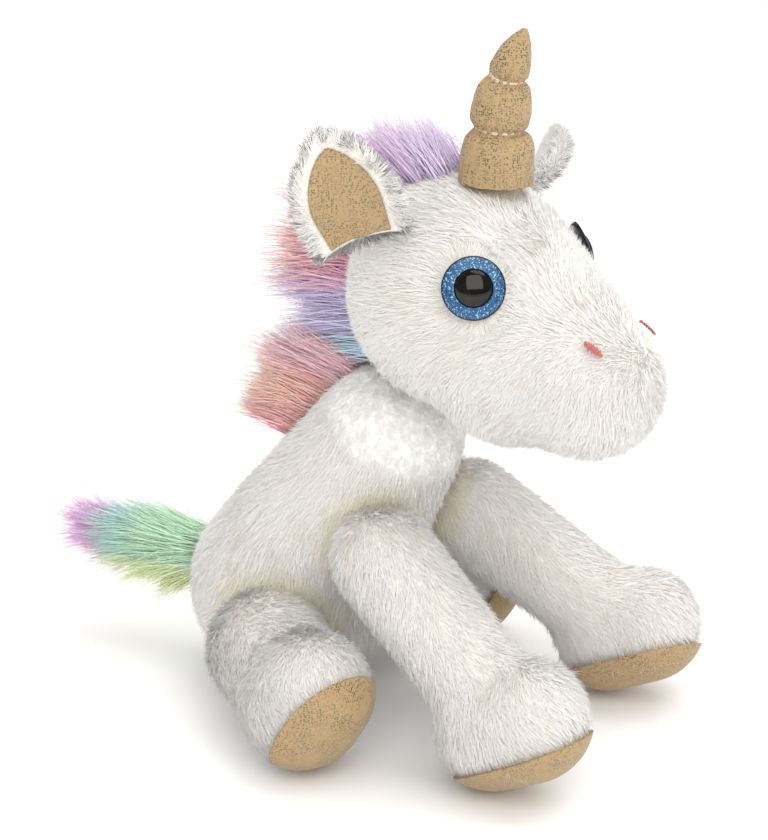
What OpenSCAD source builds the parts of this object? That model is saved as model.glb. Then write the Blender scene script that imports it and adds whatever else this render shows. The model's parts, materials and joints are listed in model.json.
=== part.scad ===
// Sitting plush unicorn: stuffed pile covers, gold soles, tied horn, shank eyes, long-pile mane and tail.
// It faces -Y, its right flank is on -X, and it sits on the plane z = 0. Sizes in millimetres.

/* [Body] */
// Radius of the belly
belly_r = 46; // [42:1:50]
// Height of the belly's centre over the seat
belly_h = 43; // [38:1:44]
// Radius of the rounded top of the neck
neck_r = 33; // [30:1:35]
// How far the neck's centre stands in front of the belly's
neck_lead = 47; // [40:1:54]
// Height of the neck's centre
neck_h = 117; // [110:1:124]
// Thickness of the covers, pile included
cover_t = 3; // [2:0.5:4]

/* [Head] */
// Turn of the head towards the right flank, in degrees
head_turn = 7; // [-15:1:15]
// Radius of the cranium
cranium_r = 48; // [44:1:52]
// Cranium's centre ahead of the neck's centre
cranium_lead = 36; // [30:1:42]
// Cranium's centre above the neck's centre
cranium_up = 65; // [60:1:70]
// Radius of the muzzle
muzzle_r = 31; // [27:1:34]
// Muzzle's centre ahead of the neck's centre
muzzle_lead = 94; // [86:1:102]
// Muzzle's centre above the neck's centre
muzzle_up = 38; // [32:1:46]
// Radius of the cheeks
cheek_r = 41; // [38:1:43]

/* [Face] */
// Radius of the eye's printed disc
eye_r = 11.5; // [9:0.5:13]
// Radius of the black pupil dome
pupil_r = 7.5; // [5:0.5:8]
// Length of the eye's shank behind the disc
shank_len = 12; // [9:1:14]
// Length of the nostril stitching
nostril_len = 8; // [5:1:10]

/* [Horn] */
// Largest radius of the lowest bulge
horn_r = 13.5; // [11:0.5:15]
// Height of the lowest bulge
horn_low_h = 20; // [16:1:22]
// Height of the middle bulge
horn_mid_h = 19.5; // [16:0.5:22]
// Height of the tip bulge
horn_tip_h = 21; // [17:1:24]
// Thickness of the horn's fabric
horn_t = 1; // [0.6:0.2:1.4]

/* [Ears] */
// Length of an ear from its root
ear_len = 47; // [40:1:52]
// Greatest width of an ear
ear_w = 40; // [34:1:44]
// Thickness of an ear's pile back
ear_back_t = 4; // [3:0.5:5]
// Thickness of an ear's lining
ear_lining_t = 1.6; // [1:0.2:2]

/* [Legs] */
// Radius of a front leg
front_leg_r = 24; // [22:1:26]
// Radius of a front foot
front_foot_r = 26; // [24:1:28]
// Radius of a hind leg
hind_leg_r = 28; // [26:1:30]
// Radius of a hind foot
hind_foot_r = 27; // [25:1:29]

/* [Mane and tail] */
// Width of the mane's strip
mane_w = 20; // [14:1:26]
// Length of the pile on the head's crest
mane_len = 30; // [20:1:36]
// Length of the tail from its hinge to its tip
tail_len = 78; // [60:1:90]
// Radius of the tail's root
tail_r = 12; // [9:1:14]

/* [Hidden] */
$fn = 64;

PILE = "whitesmoke";
FOIL = "darkkhaki";
STUFFING = "gainsboro";
right = 0;
left = 1;

body_gap = 0.6;             // running gap between pieces of different bodies
skin_gap = 0.3;             // gap between a cover and its own filling
arc_step = 12;              // degrees between points of a rounded profile
far = 400;                  // longer than the whole toy

// The origin is the middle of the toy's length, so the nose and the tail reach equally far.
nose_reach = muzzle_lead * cos(head_turn) + muzzle_r;
tail_lead = neck_lead + belly_r + 3;
y_neck = (nose_reach - tail_lead - tail_len) / 2;
neck = [0, y_neck, neck_h];
belly = [0, y_neck + neck_lead, belly_h];
tail_root = [0, y_neck + tail_lead, belly_h + 4];

// Places on the head are offsets from the neck's centre, before the head's turn.
cranium = [0, -cranium_lead, cranium_up];
cheek = [0, -62, 47];
muzzle = [0, -muzzle_lead, muzzle_up];
eye_dir = unit([-0.743, -0.618, 0.258]);
eye_face = 49.6;            // the disc's underside, from the cranium's centre
eye_disc_t = 1.4;
pupil_h = 4.2;
shank_r = 2.4;
washer_r = 8;
washer_t = 1.6;
nostril_dir = unit([-0.62, -0.42, 0.665]);
horn_foot = [0, -50, 108.5];
horn_lean = [2, 9, 22];     // forward lean of each bulge, in degrees
stitch_r = 1.2;
stitch_lift = 1.1;          // of a nostril's stitches above the muzzle's own ball
tie_r = 0.8;
horn_waist_low = 8;
horn_waist_high = 5.6;

// Ears: root, tip and facing for the right one and the left one, which flops further out.
ear_root = [[-48.6, -24.7, 88.8], [46, -25.3, 87.6]];
ear_axis = [[-18, 7, 44], [44, 4, 24]];
ear_face = [[-0.8, -0.55, 0.1], [0.4, -0.75, -0.5]];
lining_inset = 6;

// Legs: hinge and foot centres from the neck's centre dropped to the floor, right ones then left ones.
front_hip = [[-34, -17, 78], [34, -17, 78]];
front_foot = [[-49, -82, 30.4], [55, -81, 30.4]];
front_sole_dir = [[-0.1, -0.45, -0.85], [-0.3, -0.4, -0.85]];
front_toe = [[-0.1, -0.9, 0.46], [0.1, -0.9, 0.4]];
hind_hip = [[-47, 29, 34], [47, 29, 34]];
hind_foot = [[-71, -4, 30.6], [71, 4, 30.6]];
hind_sole_dir = [[-0.3, -0.8, -0.5], [0.3, -0.8, -0.5]];
hind_toe = [[0, -0.53, 0.85], [0, -0.53, 0.85]];
front_toe_half = 9;
hind_toe_half = 4;
ankle_slim = 4;             // how much slimmer a leg's skin is at the ankle than at the foot
sole_depth = 15;            // from a foot's centre to the edge of its sole
sole_t = 1.5;

function unit(v) = v / norm(v);
function side(i) = i == right ? -1 : 1;
function on_floor(p) = [p.x, y_neck + p.y, p.z];
// v without its part along the unit vector a, made a unit vector
function square_to(v, a) = unit(v - (v * a) * a);

// Puts local X, Y and Z along the unit vectors x, y and z, with the origin at p.
module axes_at(p, x, y, z) {
    multmatrix([[x.x, y.x, z.x, p.x], [x.y, y.y, z.y, p.y], [x.z, y.z, z.z, p.z]]) children();
}

// Puts local Z along the direction d, with the origin at p.
module aim(p, d) {
    z = unit(d);
    x = square_to(abs(z.z) < 0.9 ? [0, 0, 1] : [0, 1, 0], z);
    axes_at(p, x, cross(z, x), z) children();
}

// Rounded bar from p to q with radius rp at p and rq at q.
module taper(p, q, rp, rq) {
    len = norm(q - p);
    lean = asin((rp - rq) / len);
    aim(p, q - p) rotate_extrude()
        polygon(concat(
            [for (a = [-90 : arc_step : lean - 1]) rp * [cos(a), sin(a)]],
            [rp * [cos(lean), sin(lean)]],
            [for (a = [lean : arc_step : 89]) [0, len] + rq * [cos(a), sin(a)]],
            [[0, len + rq]]
        ));
}

// Everything beyond the plane through p that the direction n points to.
module beyond(p, n) {
    aim(p, n) translate([-far / 2, -far / 2, 0]) cube(far);
}

// Child placed on the head, which is turned about the neck's upright axis.
module on_head() {
    translate(neck) rotate([0, 0, -head_turn]) children();
}

module on_side(i) {
    mirror([i == left ? 1 : 0, 0, 0]) children();
}

module body_form(inset) {
    taper(belly, neck, belly_r - inset, neck_r - inset);
}

module head_form(inset) {
    taper(cranium, muzzle, cranium_r - inset, muzzle_r - inset);
    translate(cheek) sphere(cheek_r - inset);
}

// Hinge end, shank and foot of a leg, with its skin moved in by inset.
module leg_form(hip, foot, toe, toe_half, leg_r, foot_r, inset) {
    t = unit(toe) * toe_half;
    taper(on_floor(hip), on_floor(foot), leg_r - inset, foot_r - ankle_slim - inset);
    taper(on_floor(foot) - t, on_floor(foot) + t, foot_r - inset, foot_r - inset);
}

module front_leg_form(i, inset) {
    leg_form(front_hip[i], front_foot[i], front_toe[i], front_toe_half, front_leg_r, front_foot_r, inset);
}

module hind_leg_form(i, inset) {
    leg_form(hind_hip[i], hind_foot[i], hind_toe[i], hind_toe_half, hind_leg_r, hind_foot_r, inset);
}

// Room that a leg's round hinge end and its shank take out of the torso. The shank's room is a
// little wider than the ball's, so that the two never touch along a curve.
module leg_room(hip, foot, leg_r, foot_r) {
    h = on_floor(hip);
    f = on_floor(foot);
    translate(h) sphere(leg_r + body_gap);
    aim(h, f - h) cylinder(r1 = leg_r + body_gap + 0.4, r2 = foot_r + body_gap + 0.4, h = norm(f - h));
}

module torso_room() {
    for (i = [right, left]) {
        leg_room(front_hip[i], front_foot[i], front_leg_r, front_foot_r);
        leg_room(hind_hip[i], hind_foot[i], hind_leg_r, hind_foot_r);
    }
    translate(tail_root) sphere(tail_r + body_gap);
    beyond([0, 0, 0], [0, 0, -1]);
}

module torso_cover() {
    color(PILE) difference() {
        body_form(0);
        difference() {
            body_form(cover_t);
            beyond([0, 0, cover_t], [0, 0, -1]);
        }
        torso_room();
    }
}

module torso_filling() {
    color(STUFFING) difference() {
        body_form(cover_t + skin_gap);
        torso_room();
        beyond([0, 0, cover_t + skin_gap], [0, 0, -1]);
        translate(neck) sphere(neck_r - cover_t + skin_gap);
    }
}

module neck_filling() {
    color(STUFFING) translate(neck) sphere(neck_r - cover_t - body_gap);
}

// Long-pile strip along the spine, from under the head to the shoulders.
module mane_neck() {
    slope = unit([belly.y - neck.y, belly.z - neck.z]);
    lean = asin((belly_r - neck_r) / norm(belly - neck));
    out = [-slope.y, slope.x] * cos(lean) - slope * sin(lean);
    along = [out.y, -out.x];
    start = [neck.y, neck.z] + out * (neck_r + skin_gap);
    points = [[10, 0], [14, 17], [34, 25], [46, 12], [44, 0]];
    color("lightsalmon") translate([mane_w / 2, 0, 0]) rotate([0, -90, 0]) rotate([0, 0, 90])
        mirror([0, 1, 0]) linear_extrude(mane_w)
            polygon([for (p = points) start + along * p.x + out * p.y]);
}

module eye_place(i) {
    on_head() on_side(i) aim(cranium, eye_dir) children();
}

module head_cover() {
    color(PILE) difference() {
        on_head() head_form(0);
        on_head() head_form(cover_t);
        translate(neck) sphere(neck_r + body_gap);
        for (i = [right, left]) eye_place(i) {
            translate([0, 0, eye_face - 0.1]) cylinder(r = eye_r + 0.4, h = 20);
            cylinder(r = shank_r + 0.1, h = far / 4);
        }
    }
}

module head_filling() {
    color(STUFFING) difference() {
        on_head() head_form(cover_t + skin_gap);
        translate(neck) sphere(neck_r + body_gap + 1);
        for (i = [right, left]) eye_place(i)
            translate([0, 0, eye_face - shank_len - 1]) cylinder(r = washer_r + 0.5, h = far / 4);
    }
}

// Long-pile crest over the back of the head, a crescent standing on the centre seam.
module mane_head() {
    top = 82;
    bottom = -14;
    root_r = cranium_r + skin_gap;
    color("hotpink") on_head() translate([mane_w / 2, 0, 0]) rotate([0, -90, 0]) rotate([0, 0, 90])
        mirror([0, 1, 0]) linear_extrude(mane_w) translate([cranium.y, cranium.z])
            polygon(concat(
                [for (a = [bottom : 8 : top]) root_r * [cos(a), sin(a)]],
                [for (a = [top : -8 : bottom]) (root_r + 3 + mane_len * sin((top - a + 25) * 1.3)) * [cos(a), sin(a)]]
            ));
}

module nostril_stitch(i) {
    color("indianred") on_head() on_side(i) aim(muzzle, nostril_dir)
        translate([0, 0, muzzle_r + stitch_r + stitch_lift]) rotate([0, 0, 35])
            translate([-nostril_len / 2, 0, 0]) rotate([0, 90, 0]) cylinder(r = stitch_r, h = nostril_len);
}

// Moulded eye: disc, pupil dome and shank in one piece of glossy plastic.
module eye(i) {
    dome_r = (pupil_r * pupil_r + pupil_h * pupil_h) / (2 * pupil_h);
    color("black") eye_place(i) translate([0, 0, eye_face]) {
        cylinder(r = eye_r, h = eye_disc_t);
        translate([0, 0, -shank_len]) cylinder(r = shank_r, h = shank_len);
        intersection() {
            translate([0, 0, eye_disc_t + pupil_h - dome_r]) sphere(dome_r);
            cylinder(r = pupil_r, h = 10);
        }
    }
}

module eye_ring(i) {
    color("steelblue") eye_place(i) translate([0, 0, eye_face + eye_disc_t]) difference() {
        cylinder(r1 = eye_r - 0.5, r2 = eye_r - 1.5, h = 1);
        translate([0, 0, -1]) cylinder(r = pupil_r + 0.1, h = 3);
    }
}

module eye_washer(i) {
    color("ivory") eye_place(i) translate([0, 0, eye_face - 8.5]) difference() {
        cylinder(r = washer_r, h = washer_t);
        translate([0, 0, -1]) cylinder(r = shank_r + 0.05, h = washer_t + 2);
    }
}

// One stuffed bulge between two ties: radius r0 at the foot, r1 at the top and mid between.
module bulge(r0, mid, r1, h, inset) {
    steps = 8;
    rotate_extrude() polygon(concat(
        [[0, inset]],
        [for (s = [0 : steps]) let (u = s / steps, base = r0 + (r1 - r0) * u)
            [base + (mid - base) * pow(sin(180 * u), 0.6) - inset, inset + (h - 2 * inset) * u]],
        [[0, h - inset]]
    ));
}

// The three bulges, each leaning a little further forward than the one below.
module horn_form(inset) {
    on_head() translate(horn_foot) rotate([horn_lean[0], 0, 0]) {
        bulge(horn_r - 3, horn_r, horn_waist_low, horn_low_h, inset);
        translate([0, 0, horn_low_h]) rotate([horn_lean[1], 0, 0]) {
            bulge(horn_waist_low, horn_r - 2.5, horn_waist_high, horn_mid_h, inset);
            translate([0, 0, horn_mid_h]) rotate([horn_lean[2] - horn_lean[1], 0, 0])
                bulge(horn_waist_high, horn_waist_high + 2, 1.8, horn_tip_h, inset);
        }
    }
}

module horn_cover() {
    color(FOIL) difference() {
        horn_form(0);
        horn_form(horn_t);
        on_head() head_form(-skin_gap);
        horn_tie_groove(0);
        horn_tie_groove(1);
    }
}

module horn_filling() {
    color(STUFFING) difference() {
        horn_form(horn_t + skin_gap);
        on_head() head_form(-skin_gap);
    }
}

// Ring where a tie binds the horn: 0 is the lower tie and 1 the upper one.
module tie_ring(level, r) {
    on_head() translate(horn_foot) rotate([horn_lean[0], 0, 0]) translate([0, 0, horn_low_h])
        if (level == 0) rotate_extrude() translate([horn_waist_low, 0]) circle(r, $fn = 24);
        else rotate([horn_lean[1], 0, 0]) translate([0, 0, horn_mid_h])
            rotate_extrude() translate([horn_waist_high, 0]) circle(r, $fn = 24);
}

module horn_tie_groove(level) {
    tie_ring(level, tie_r + 0.1);
}

module horn_tie(level) {
    color("antiquewhite") tie_ring(level, tie_r);
}

// Ear outline: a pointed leaf, cut straight across at its root.
module ear_outline(inset) {
    half = ear_w / 2 - inset;
    top = ear_len - inset * 1.4;
    bow = 0.42;             // share of the length below the widest place
    depth = top * (1 - bow);
    arc_r = (half * half + depth * depth) / (2 * half);
    intersection() {
        translate([arc_r - half, top * bow]) circle(arc_r);
        translate([half - arc_r, top * bow]) circle(arc_r);
        translate([-ear_w, inset / 2]) square([2 * ear_w, ear_len]);
    }
}

// Local Z runs up the ear, local -Y is the way its lining faces.
module ear_place(i) {
    z = unit(ear_axis[i]);
    y = -square_to(ear_face[i], z);
    on_head() axes_at(ear_root[i], cross(y, z), y, z) rotate([90, 0, 0]) children();
}

module ear_back(i) {
    color(PILE) ear_place(i) translate([0, 0, -ear_back_t]) linear_extrude(ear_back_t) ear_outline(0);
}

module ear_lining(i) {
    color(FOIL) ear_place(i) translate([0, 0, 0.1]) linear_extrude(ear_lining_t) ear_outline(lining_inset);
}

module front_leg_cover(i) {
    color(PILE) difference() {
        front_leg_form(i, 0);
        front_leg_form(i, cover_t);
        sole_cut(front_foot[i], front_sole_dir[i]);
    }
}

module front_leg_filling(i) {
    color(STUFFING) front_leg_form(i, cover_t + skin_gap);
}

module front_sole(i) {
    color(FOIL) sole(front_foot[i], front_toe[i], front_toe_half, front_foot_r, front_sole_dir[i]);
}

module hind_leg_cover(i) {
    color(PILE) difference() {
        hind_leg_form(i, 0);
        hind_leg_form(i, cover_t);
        sole_cut(hind_foot[i], hind_sole_dir[i]);
    }
}

module hind_leg_filling(i) {
    color(STUFFING) hind_leg_form(i, cover_t + skin_gap);
}

module hind_sole(i) {
    color(FOIL) sole(hind_foot[i], hind_toe[i], hind_toe_half, hind_foot_r, hind_sole_dir[i]);
}

module sole_cut(foot, dir) {
    beyond(on_floor(foot) + unit(dir) * sole_depth, dir);
}

// Gold fabric that closes a foot: the shell of the foot's end beyond the cut.
module sole(foot, toe, toe_half, foot_r, dir) {
    t = unit(toe) * toe_half;
    p = on_floor(foot);
    intersection() {
        difference() {
            taper(p - t, p + t, foot_r, foot_r);
            taper(p - t, p + t, foot_r - sole_t, foot_r - sole_t);
        }
        beyond(p + unit(dir) * (sole_depth + 0.1), dir);
    }
}

// Round cord of backing fabric that the tail's pile is sewn to.
module tail_core() {
    color("palegreen") translate(tail_root) rotate([-90, 0, 0]) cylinder(r = 4, h = tail_len * 0.45);
}

module tail_plume() {
    steps = 10;
    color("aquamarine") translate(tail_root) rotate([-90, 0, 0]) difference() {
        union() {
            sphere(tail_r);
            rotate_extrude() polygon(concat(
                [[0, 0]],
                [for (s = [0 : steps]) let (u = s / steps)
                    [(tail_r + 4 * sin(180 * u)) * pow(1 - u, 0.7) + 1.5 * u, tail_len * u]],
                [[0, tail_len]]
            ));
        }
        cylinder(r = 4 + 0.1, h = tail_len * 0.45 + 0.1);
    }
}

torso_cover();
torso_filling();
neck_filling();
mane_neck();
head_cover();
head_filling();
mane_head();
nostril_stitch(right);  // nostril_stitch_right
nostril_stitch(left);  // nostril_stitch_left
eye(right);  // eye_right
eye(left);  // eye_left
eye_ring(right);  // eye_ring_right
eye_ring(left);  // eye_ring_left
eye_washer(right);  // eye_washer_right
eye_washer(left);  // eye_washer_left
horn_cover();
horn_filling();
horn_tie(0);  // horn_tie_lower
horn_tie(1);  // horn_tie_upper
ear_back(right);  // ear_back_right
ear_back(left);  // ear_back_left
ear_lining(right);  // ear_lining_right
ear_lining(left);  // ear_lining_left
front_leg_cover(right);  // front_leg_cover_right
front_leg_filling(right);  // front_leg_filling_right
front_sole(right);  // front_sole_right
front_leg_cover(left);  // front_leg_cover_left
front_leg_filling(left);  // front_leg_filling_left
front_sole(left);  // front_sole_left
hind_leg_cover(right);  // hind_leg_cover_right
hind_leg_filling(right);  // hind_leg_filling_right
hind_sole(right);  // hind_sole_right
hind_leg_cover(left);  // hind_leg_cover_left
hind_leg_filling(left);  // hind_leg_filling_left
hind_sole(left);  // hind_sole_left
tail_core();
tail_plume();
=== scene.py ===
"""Looks of a sitting plush unicorn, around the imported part."""

import json  # noqa: E402
import logging  # noqa: E402
import math  # noqa: E402
from dataclasses import dataclass, field  # noqa: E402
from enum import Enum  # noqa: E402
from typing import Callable, Sequence  # noqa: E402

import bmesh  # noqa: E402
import bpy  # noqa: E402
import numpy as np  # noqa: E402
from mathutils import Matrix, Vector  # noqa: E402


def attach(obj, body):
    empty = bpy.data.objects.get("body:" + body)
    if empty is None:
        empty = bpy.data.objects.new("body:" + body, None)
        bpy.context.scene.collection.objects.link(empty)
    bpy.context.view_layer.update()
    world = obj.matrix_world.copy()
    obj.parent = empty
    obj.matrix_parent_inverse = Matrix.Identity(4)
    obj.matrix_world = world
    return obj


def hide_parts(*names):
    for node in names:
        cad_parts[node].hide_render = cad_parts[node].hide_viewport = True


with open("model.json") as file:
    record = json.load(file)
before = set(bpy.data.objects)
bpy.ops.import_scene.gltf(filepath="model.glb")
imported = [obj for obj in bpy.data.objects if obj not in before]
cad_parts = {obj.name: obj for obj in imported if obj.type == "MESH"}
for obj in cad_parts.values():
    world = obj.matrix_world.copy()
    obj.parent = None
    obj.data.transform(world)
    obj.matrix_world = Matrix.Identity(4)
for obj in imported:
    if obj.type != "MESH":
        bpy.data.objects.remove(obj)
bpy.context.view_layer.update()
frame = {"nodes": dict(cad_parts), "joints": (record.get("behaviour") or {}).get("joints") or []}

log = logging.getLogger("unicorn")
MM = 0.001
Array = np.ndarray
Shade = tuple[float, float, float]


class Side(Enum):
    """The toy's own right and left, with the sign of X there."""

    RIGHT = ("right", -1.0)
    LEFT = ("left", 1.0)

    @property
    def word(self) -> str:
        """Name used in the part's nodes and bodies."""
        return self.value[0]

    @property
    def sign(self) -> float:
        """Sign of X on this side."""
        return self.value[1]


def joint_place(name: str) -> Vector:
    """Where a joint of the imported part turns.

    Args:
        name: The joint's name.

    Returns:
        Its place in the row frame, in metres.
    """
    found = next(j for j in frame["joints"] if j["name"] == name)
    return Vector(found["pos_m"])


NECK = joint_place("head_turn")
TAIL_ROOT = joint_place("tail_wag")


# ---------------------------------------------------------------- vector fields


def unit(v: Array) -> Array:
    """Rows of v made one long.

    Args:
        v: Vectors, one per row.

    Returns:
        The same directions with length one.
    """
    return v / np.maximum(np.linalg.norm(v, axis=-1, keepdims=True), 1e-12)


def smooth_step(x: Array, low: float, high: float) -> Array:
    """Smooth rise from 0 at low to 1 at high.

    Args:
        x: Values.
        low: Where the rise starts.
        high: Where it ends.

    Returns:
        Values from 0 to 1.
    """
    t = np.clip((x - low) / (high - low), 0, 1)
    return t * t * (3 - 2 * t)


def hashed(cell: Array, salt: int) -> Array:
    """One even random number for each whole-number cell.

    Args:
        cell: Cell numbers, three per row.
        salt: Picks the series.

    Returns:
        Numbers from 0 to 1.
    """
    c = cell.astype(np.int64)
    h = c[..., 0] * 73856093 ^ c[..., 1] * 19349663 ^ c[..., 2] * 83492791 ^ (salt + 1) * 2654435761
    h = (h ^ (h >> 13)) * 1274126177 & 0xFFFFFFFF
    h = (h ^ (h >> 16)) * 2246822519 & 0xFFFFFFFF
    return ((h ^ (h >> 15)) & 0xFFFFFF) / float(0x1000000)


def nearest_tuft(points: Array, size: float, salt: int) -> tuple[Array, Array]:
    """The tuft that each point belongs to, from centres strewn through space.

    Args:
        points: Places, one per row.
        size: Mean distance between centres.
        salt: Picks the pattern.

    Returns:
        The tuft's centre and three random numbers from -1 to 1, per point.
    """
    base = np.floor(points / size)
    best = np.full(len(points), 1e9)
    centre = np.zeros_like(points)
    own = np.zeros_like(points)
    for step in np.ndindex(3, 3, 3):
        cell = base + (np.array(step) - 1)
        jitter = np.stack([hashed(cell, salt + k) for k in range(3)], axis=1)
        place = (cell + jitter) * size
        gap = np.linalg.norm(points - place, axis=1)
        closer = gap < best
        best[closer] = gap[closer]
        centre[closer] = place[closer]
        own[closer] = cell[closer]
    luck = np.stack([hashed(own, salt + 7 + k) for k in range(3)], axis=1) * 2 - 1
    return centre, luck


def swirl(points: Array, size: float, phase: float) -> Array:
    """A slow, smooth field of directions, for pile that was stroked here and there.

    Args:
        points: Places, one per row.
        size: Width of one swirl.
        phase: Shifts the field.

    Returns:
        Vectors with parts from -1 to 1.
    """
    q = points * (2 * math.pi / size) + phase
    x, y, z = q[:, 0], q[:, 1], q[:, 2]
    return np.stack(
        [
            np.sin(y * 1.1 + 1.7 * np.sin(z * 0.7 + 1.0)),
            np.sin(z * 0.9 + 1.3 * np.sin(x * 0.8 + 2.1)),
            np.sin(x * 1.2 + 1.5 * np.sin(y * 0.6 + 0.4)),
        ],
        axis=1,
    )


# ---------------------------------------------------------------- rounded forms


@dataclass(frozen=True)
class Bar:
    """A tapered round bar: a ball at each end and the cone that joins them."""

    start: Vector
    end: Vector
    start_r: float
    end_r: float

    def inset(self, by: float) -> "Bar":
        """The same bar with its surface moved in."""
        return Bar(self.start, self.end, self.start_r - by, self.end_r - by)

    def distance(self, points: Array) -> Array:
        """How far points lie outside the bar; less than zero is inside.

        Args:
            points: Places, one per row.

        Returns:
            Signed distances in metres.
        """
        p = np.array(self.start)
        along = np.array(self.end) - p
        l2 = float(along @ along)
        if l2 < 1e-12:
            return np.linalg.norm(points - p, axis=1) - max(self.start_r, self.end_r)
        rr = self.start_r - self.end_r
        a2 = max(l2 - rr * rr, 1e-12)
        rel = points - p
        y = rel @ along
        z = y - l2
        x2 = ((rel * l2 - y[:, None] * along) ** 2).sum(axis=1)
        y2 = y * y * l2
        z2 = z * z * l2
        k = math.copysign(1.0, rr) * rr * rr * x2
        body = (np.sqrt(x2 * a2 / l2) + y * rr) / l2 - self.start_r
        tail = np.sqrt(x2 + z2) / l2 - self.end_r
        head = np.sqrt(x2 + y2) / l2 - self.start_r
        out = np.where(np.sign(y) * a2 * y2 < k, head, body)
        return np.where(np.sign(z) * a2 * z2 > k, tail, out)


def ball(centre: Vector, r: float) -> Bar:
    """A bar with no length."""
    return Bar(centre, centre, r, r)


def outside(bars: Sequence[Bar], points: Array) -> Array:
    """Signed distance to the nearest of several bars."""
    return np.min([b.distance(points) for b in bars], axis=0)


def new_object(name: str, mesh: bpy.types.Mesh) -> bpy.types.Object:
    """An object at the origin that holds a mesh, linked to the scene.

    Args:
        name: The piece's name.
        mesh: Its mesh.

    Returns:
        The object.
    """
    made = bpy.data.objects.new(name, mesh)
    mesh.name = name
    bpy.context.scene.collection.objects.link(made)
    return made


def finish_mesh(name: str, bm: bmesh.types.BMesh, outward: bool = True) -> bpy.types.Object:
    """Turns a bmesh into a smooth-shaded object and frees it.

    Args:
        name: The piece's name.
        bm: The mesh that was built.
        outward: Whether the normals are worked out again first.

    Returns:
        The object.
    """
    if outward:
        bmesh.ops.recalc_face_normals(bm, faces=bm.faces)
    for face in bm.faces:
        face.smooth = True
    mesh = bpy.data.meshes.new(name)
    bm.to_mesh(mesh)
    bm.free()
    return new_object(name, mesh)


def settled(obj: bpy.types.Object) -> bpy.types.Mesh:
    """A fresh mesh with the object's modifiers applied."""
    graph = bpy.context.evaluated_depsgraph_get()
    return bpy.data.meshes.new_from_object(obj.evaluated_get(graph))


def coordinates(mesh: bpy.types.Mesh) -> Array:
    """The mesh's points as rows."""
    co = np.zeros(len(mesh.vertices) * 3, np.float32)
    mesh.vertices.foreach_get("co", co)
    return co.reshape(-1, 3).astype(float)


def set_coordinates(mesh: bpy.types.Mesh, points: Array) -> None:
    """Writes rows back as the mesh's points."""
    mesh.vertices.foreach_set("co", points.astype(np.float32).ravel())
    mesh.update()


Mould = Callable[[Array], Array]


@dataclass
class Skin:
    """A stuffed fabric form: rounded bars grown into one, smoothed, then blown out by its stuffing."""

    name: str
    bars: Sequence[Bar]
    voxel: float = 4.5 * MM
    relax: int = 6
    mould: Mould | None = None
    fill: float = 0.75

    def build(self) -> bpy.types.Object:
        """Makes the closed form before it is stuffed.

        Returns:
            The skin, with a mesh of even quads.
        """
        bm = bmesh.new()
        for bar in self.bars:
            part = bmesh.new()
            for centre, r in ((bar.start, bar.start_r), (bar.end, bar.end_r)):
                bmesh.ops.create_uvsphere(
                    part, u_segments=36, v_segments=24, radius=r, matrix=Matrix.Translation(centre)
                )
            hull = bmesh.ops.convex_hull(part, input=part.verts)
            loose = [g for g in hull["geom_interior"] if isinstance(g, bmesh.types.BMVert)]
            bmesh.ops.delete(part, geom=loose, context="VERTS")
            scratch = bpy.data.meshes.new("bar")
            part.to_mesh(scratch)
            part.free()
            bm.from_mesh(scratch)
            bpy.data.meshes.remove(scratch)
        made = finish_mesh(self.name, bm, outward=False)
        remesh = made.modifiers.new("even_quads", "REMESH")
        remesh.mode = "VOXEL"
        remesh.voxel_size = self.voxel
        rough = settled(made)
        made.modifiers.clear()
        bm = bmesh.new()
        bm.from_mesh(rough)
        for _ in range(self.relax):
            bmesh.ops.smooth_vert(
                bm, verts=bm.verts, factor=0.5, use_axis_x=True, use_axis_y=True, use_axis_z=True
            )
        bm.to_mesh(made.data)
        bm.free()
        bpy.data.meshes.remove(rough)
        if self.mould:
            set_coordinates(made.data, self.mould(coordinates(made.data)))
        made.data.polygons.foreach_set("use_smooth", [True] * len(made.data.polygons))
        return made


@dataclass(frozen=True)
class Stuffing:
    """Presses fabric outward with cloth simulation, as filling does."""

    pressure: float = 4.0
    frames: int = 20
    cap: float = 3.0 * MM

    def press(self, skins: Sequence[bpy.types.Object]) -> None:
        """Blows every skin out a little and leaves the result in its mesh.

        Args:
            skins: Closed forms made by Skin.build.
        """
        scene = bpy.context.scene
        before = {}
        for skin in skins:
            before[skin.name] = coordinates(skin.data)
            cloth = skin.modifiers.new("stuffing", "CLOTH")
            cloth.settings.quality = 4
            cloth.settings.mass = 0.2
            cloth.settings.use_pressure = True
            cloth.settings.uniform_pressure_force = self.pressure
            cloth.settings.tension_stiffness = 12
            cloth.settings.compression_stiffness = 12
            cloth.settings.bending_stiffness = 0.4
            cloth.settings.effector_weights.gravity = 0
            cloth.collision_settings.use_collision = False
            cloth.point_cache.frame_start = 1
            cloth.point_cache.frame_end = self.frames
        for number in range(1, self.frames + 1):
            scene.frame_set(number)
        graph = bpy.context.evaluated_depsgraph_get()
        after = {s.name: coordinates(s.evaluated_get(graph).to_mesh()) for s in skins}
        for skin in skins:
            skin.modifiers.clear()
            move = after[skin.name] - before[skin.name]
            reach = np.linalg.norm(move, axis=1, keepdims=True)
            move *= np.minimum(1, self.cap / np.maximum(reach, 1e-9))
            set_coordinates(skin.data, before[skin.name] + move)
        scene.frame_set(1)


# ---------------------------------------------------------------- node helpers


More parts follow.
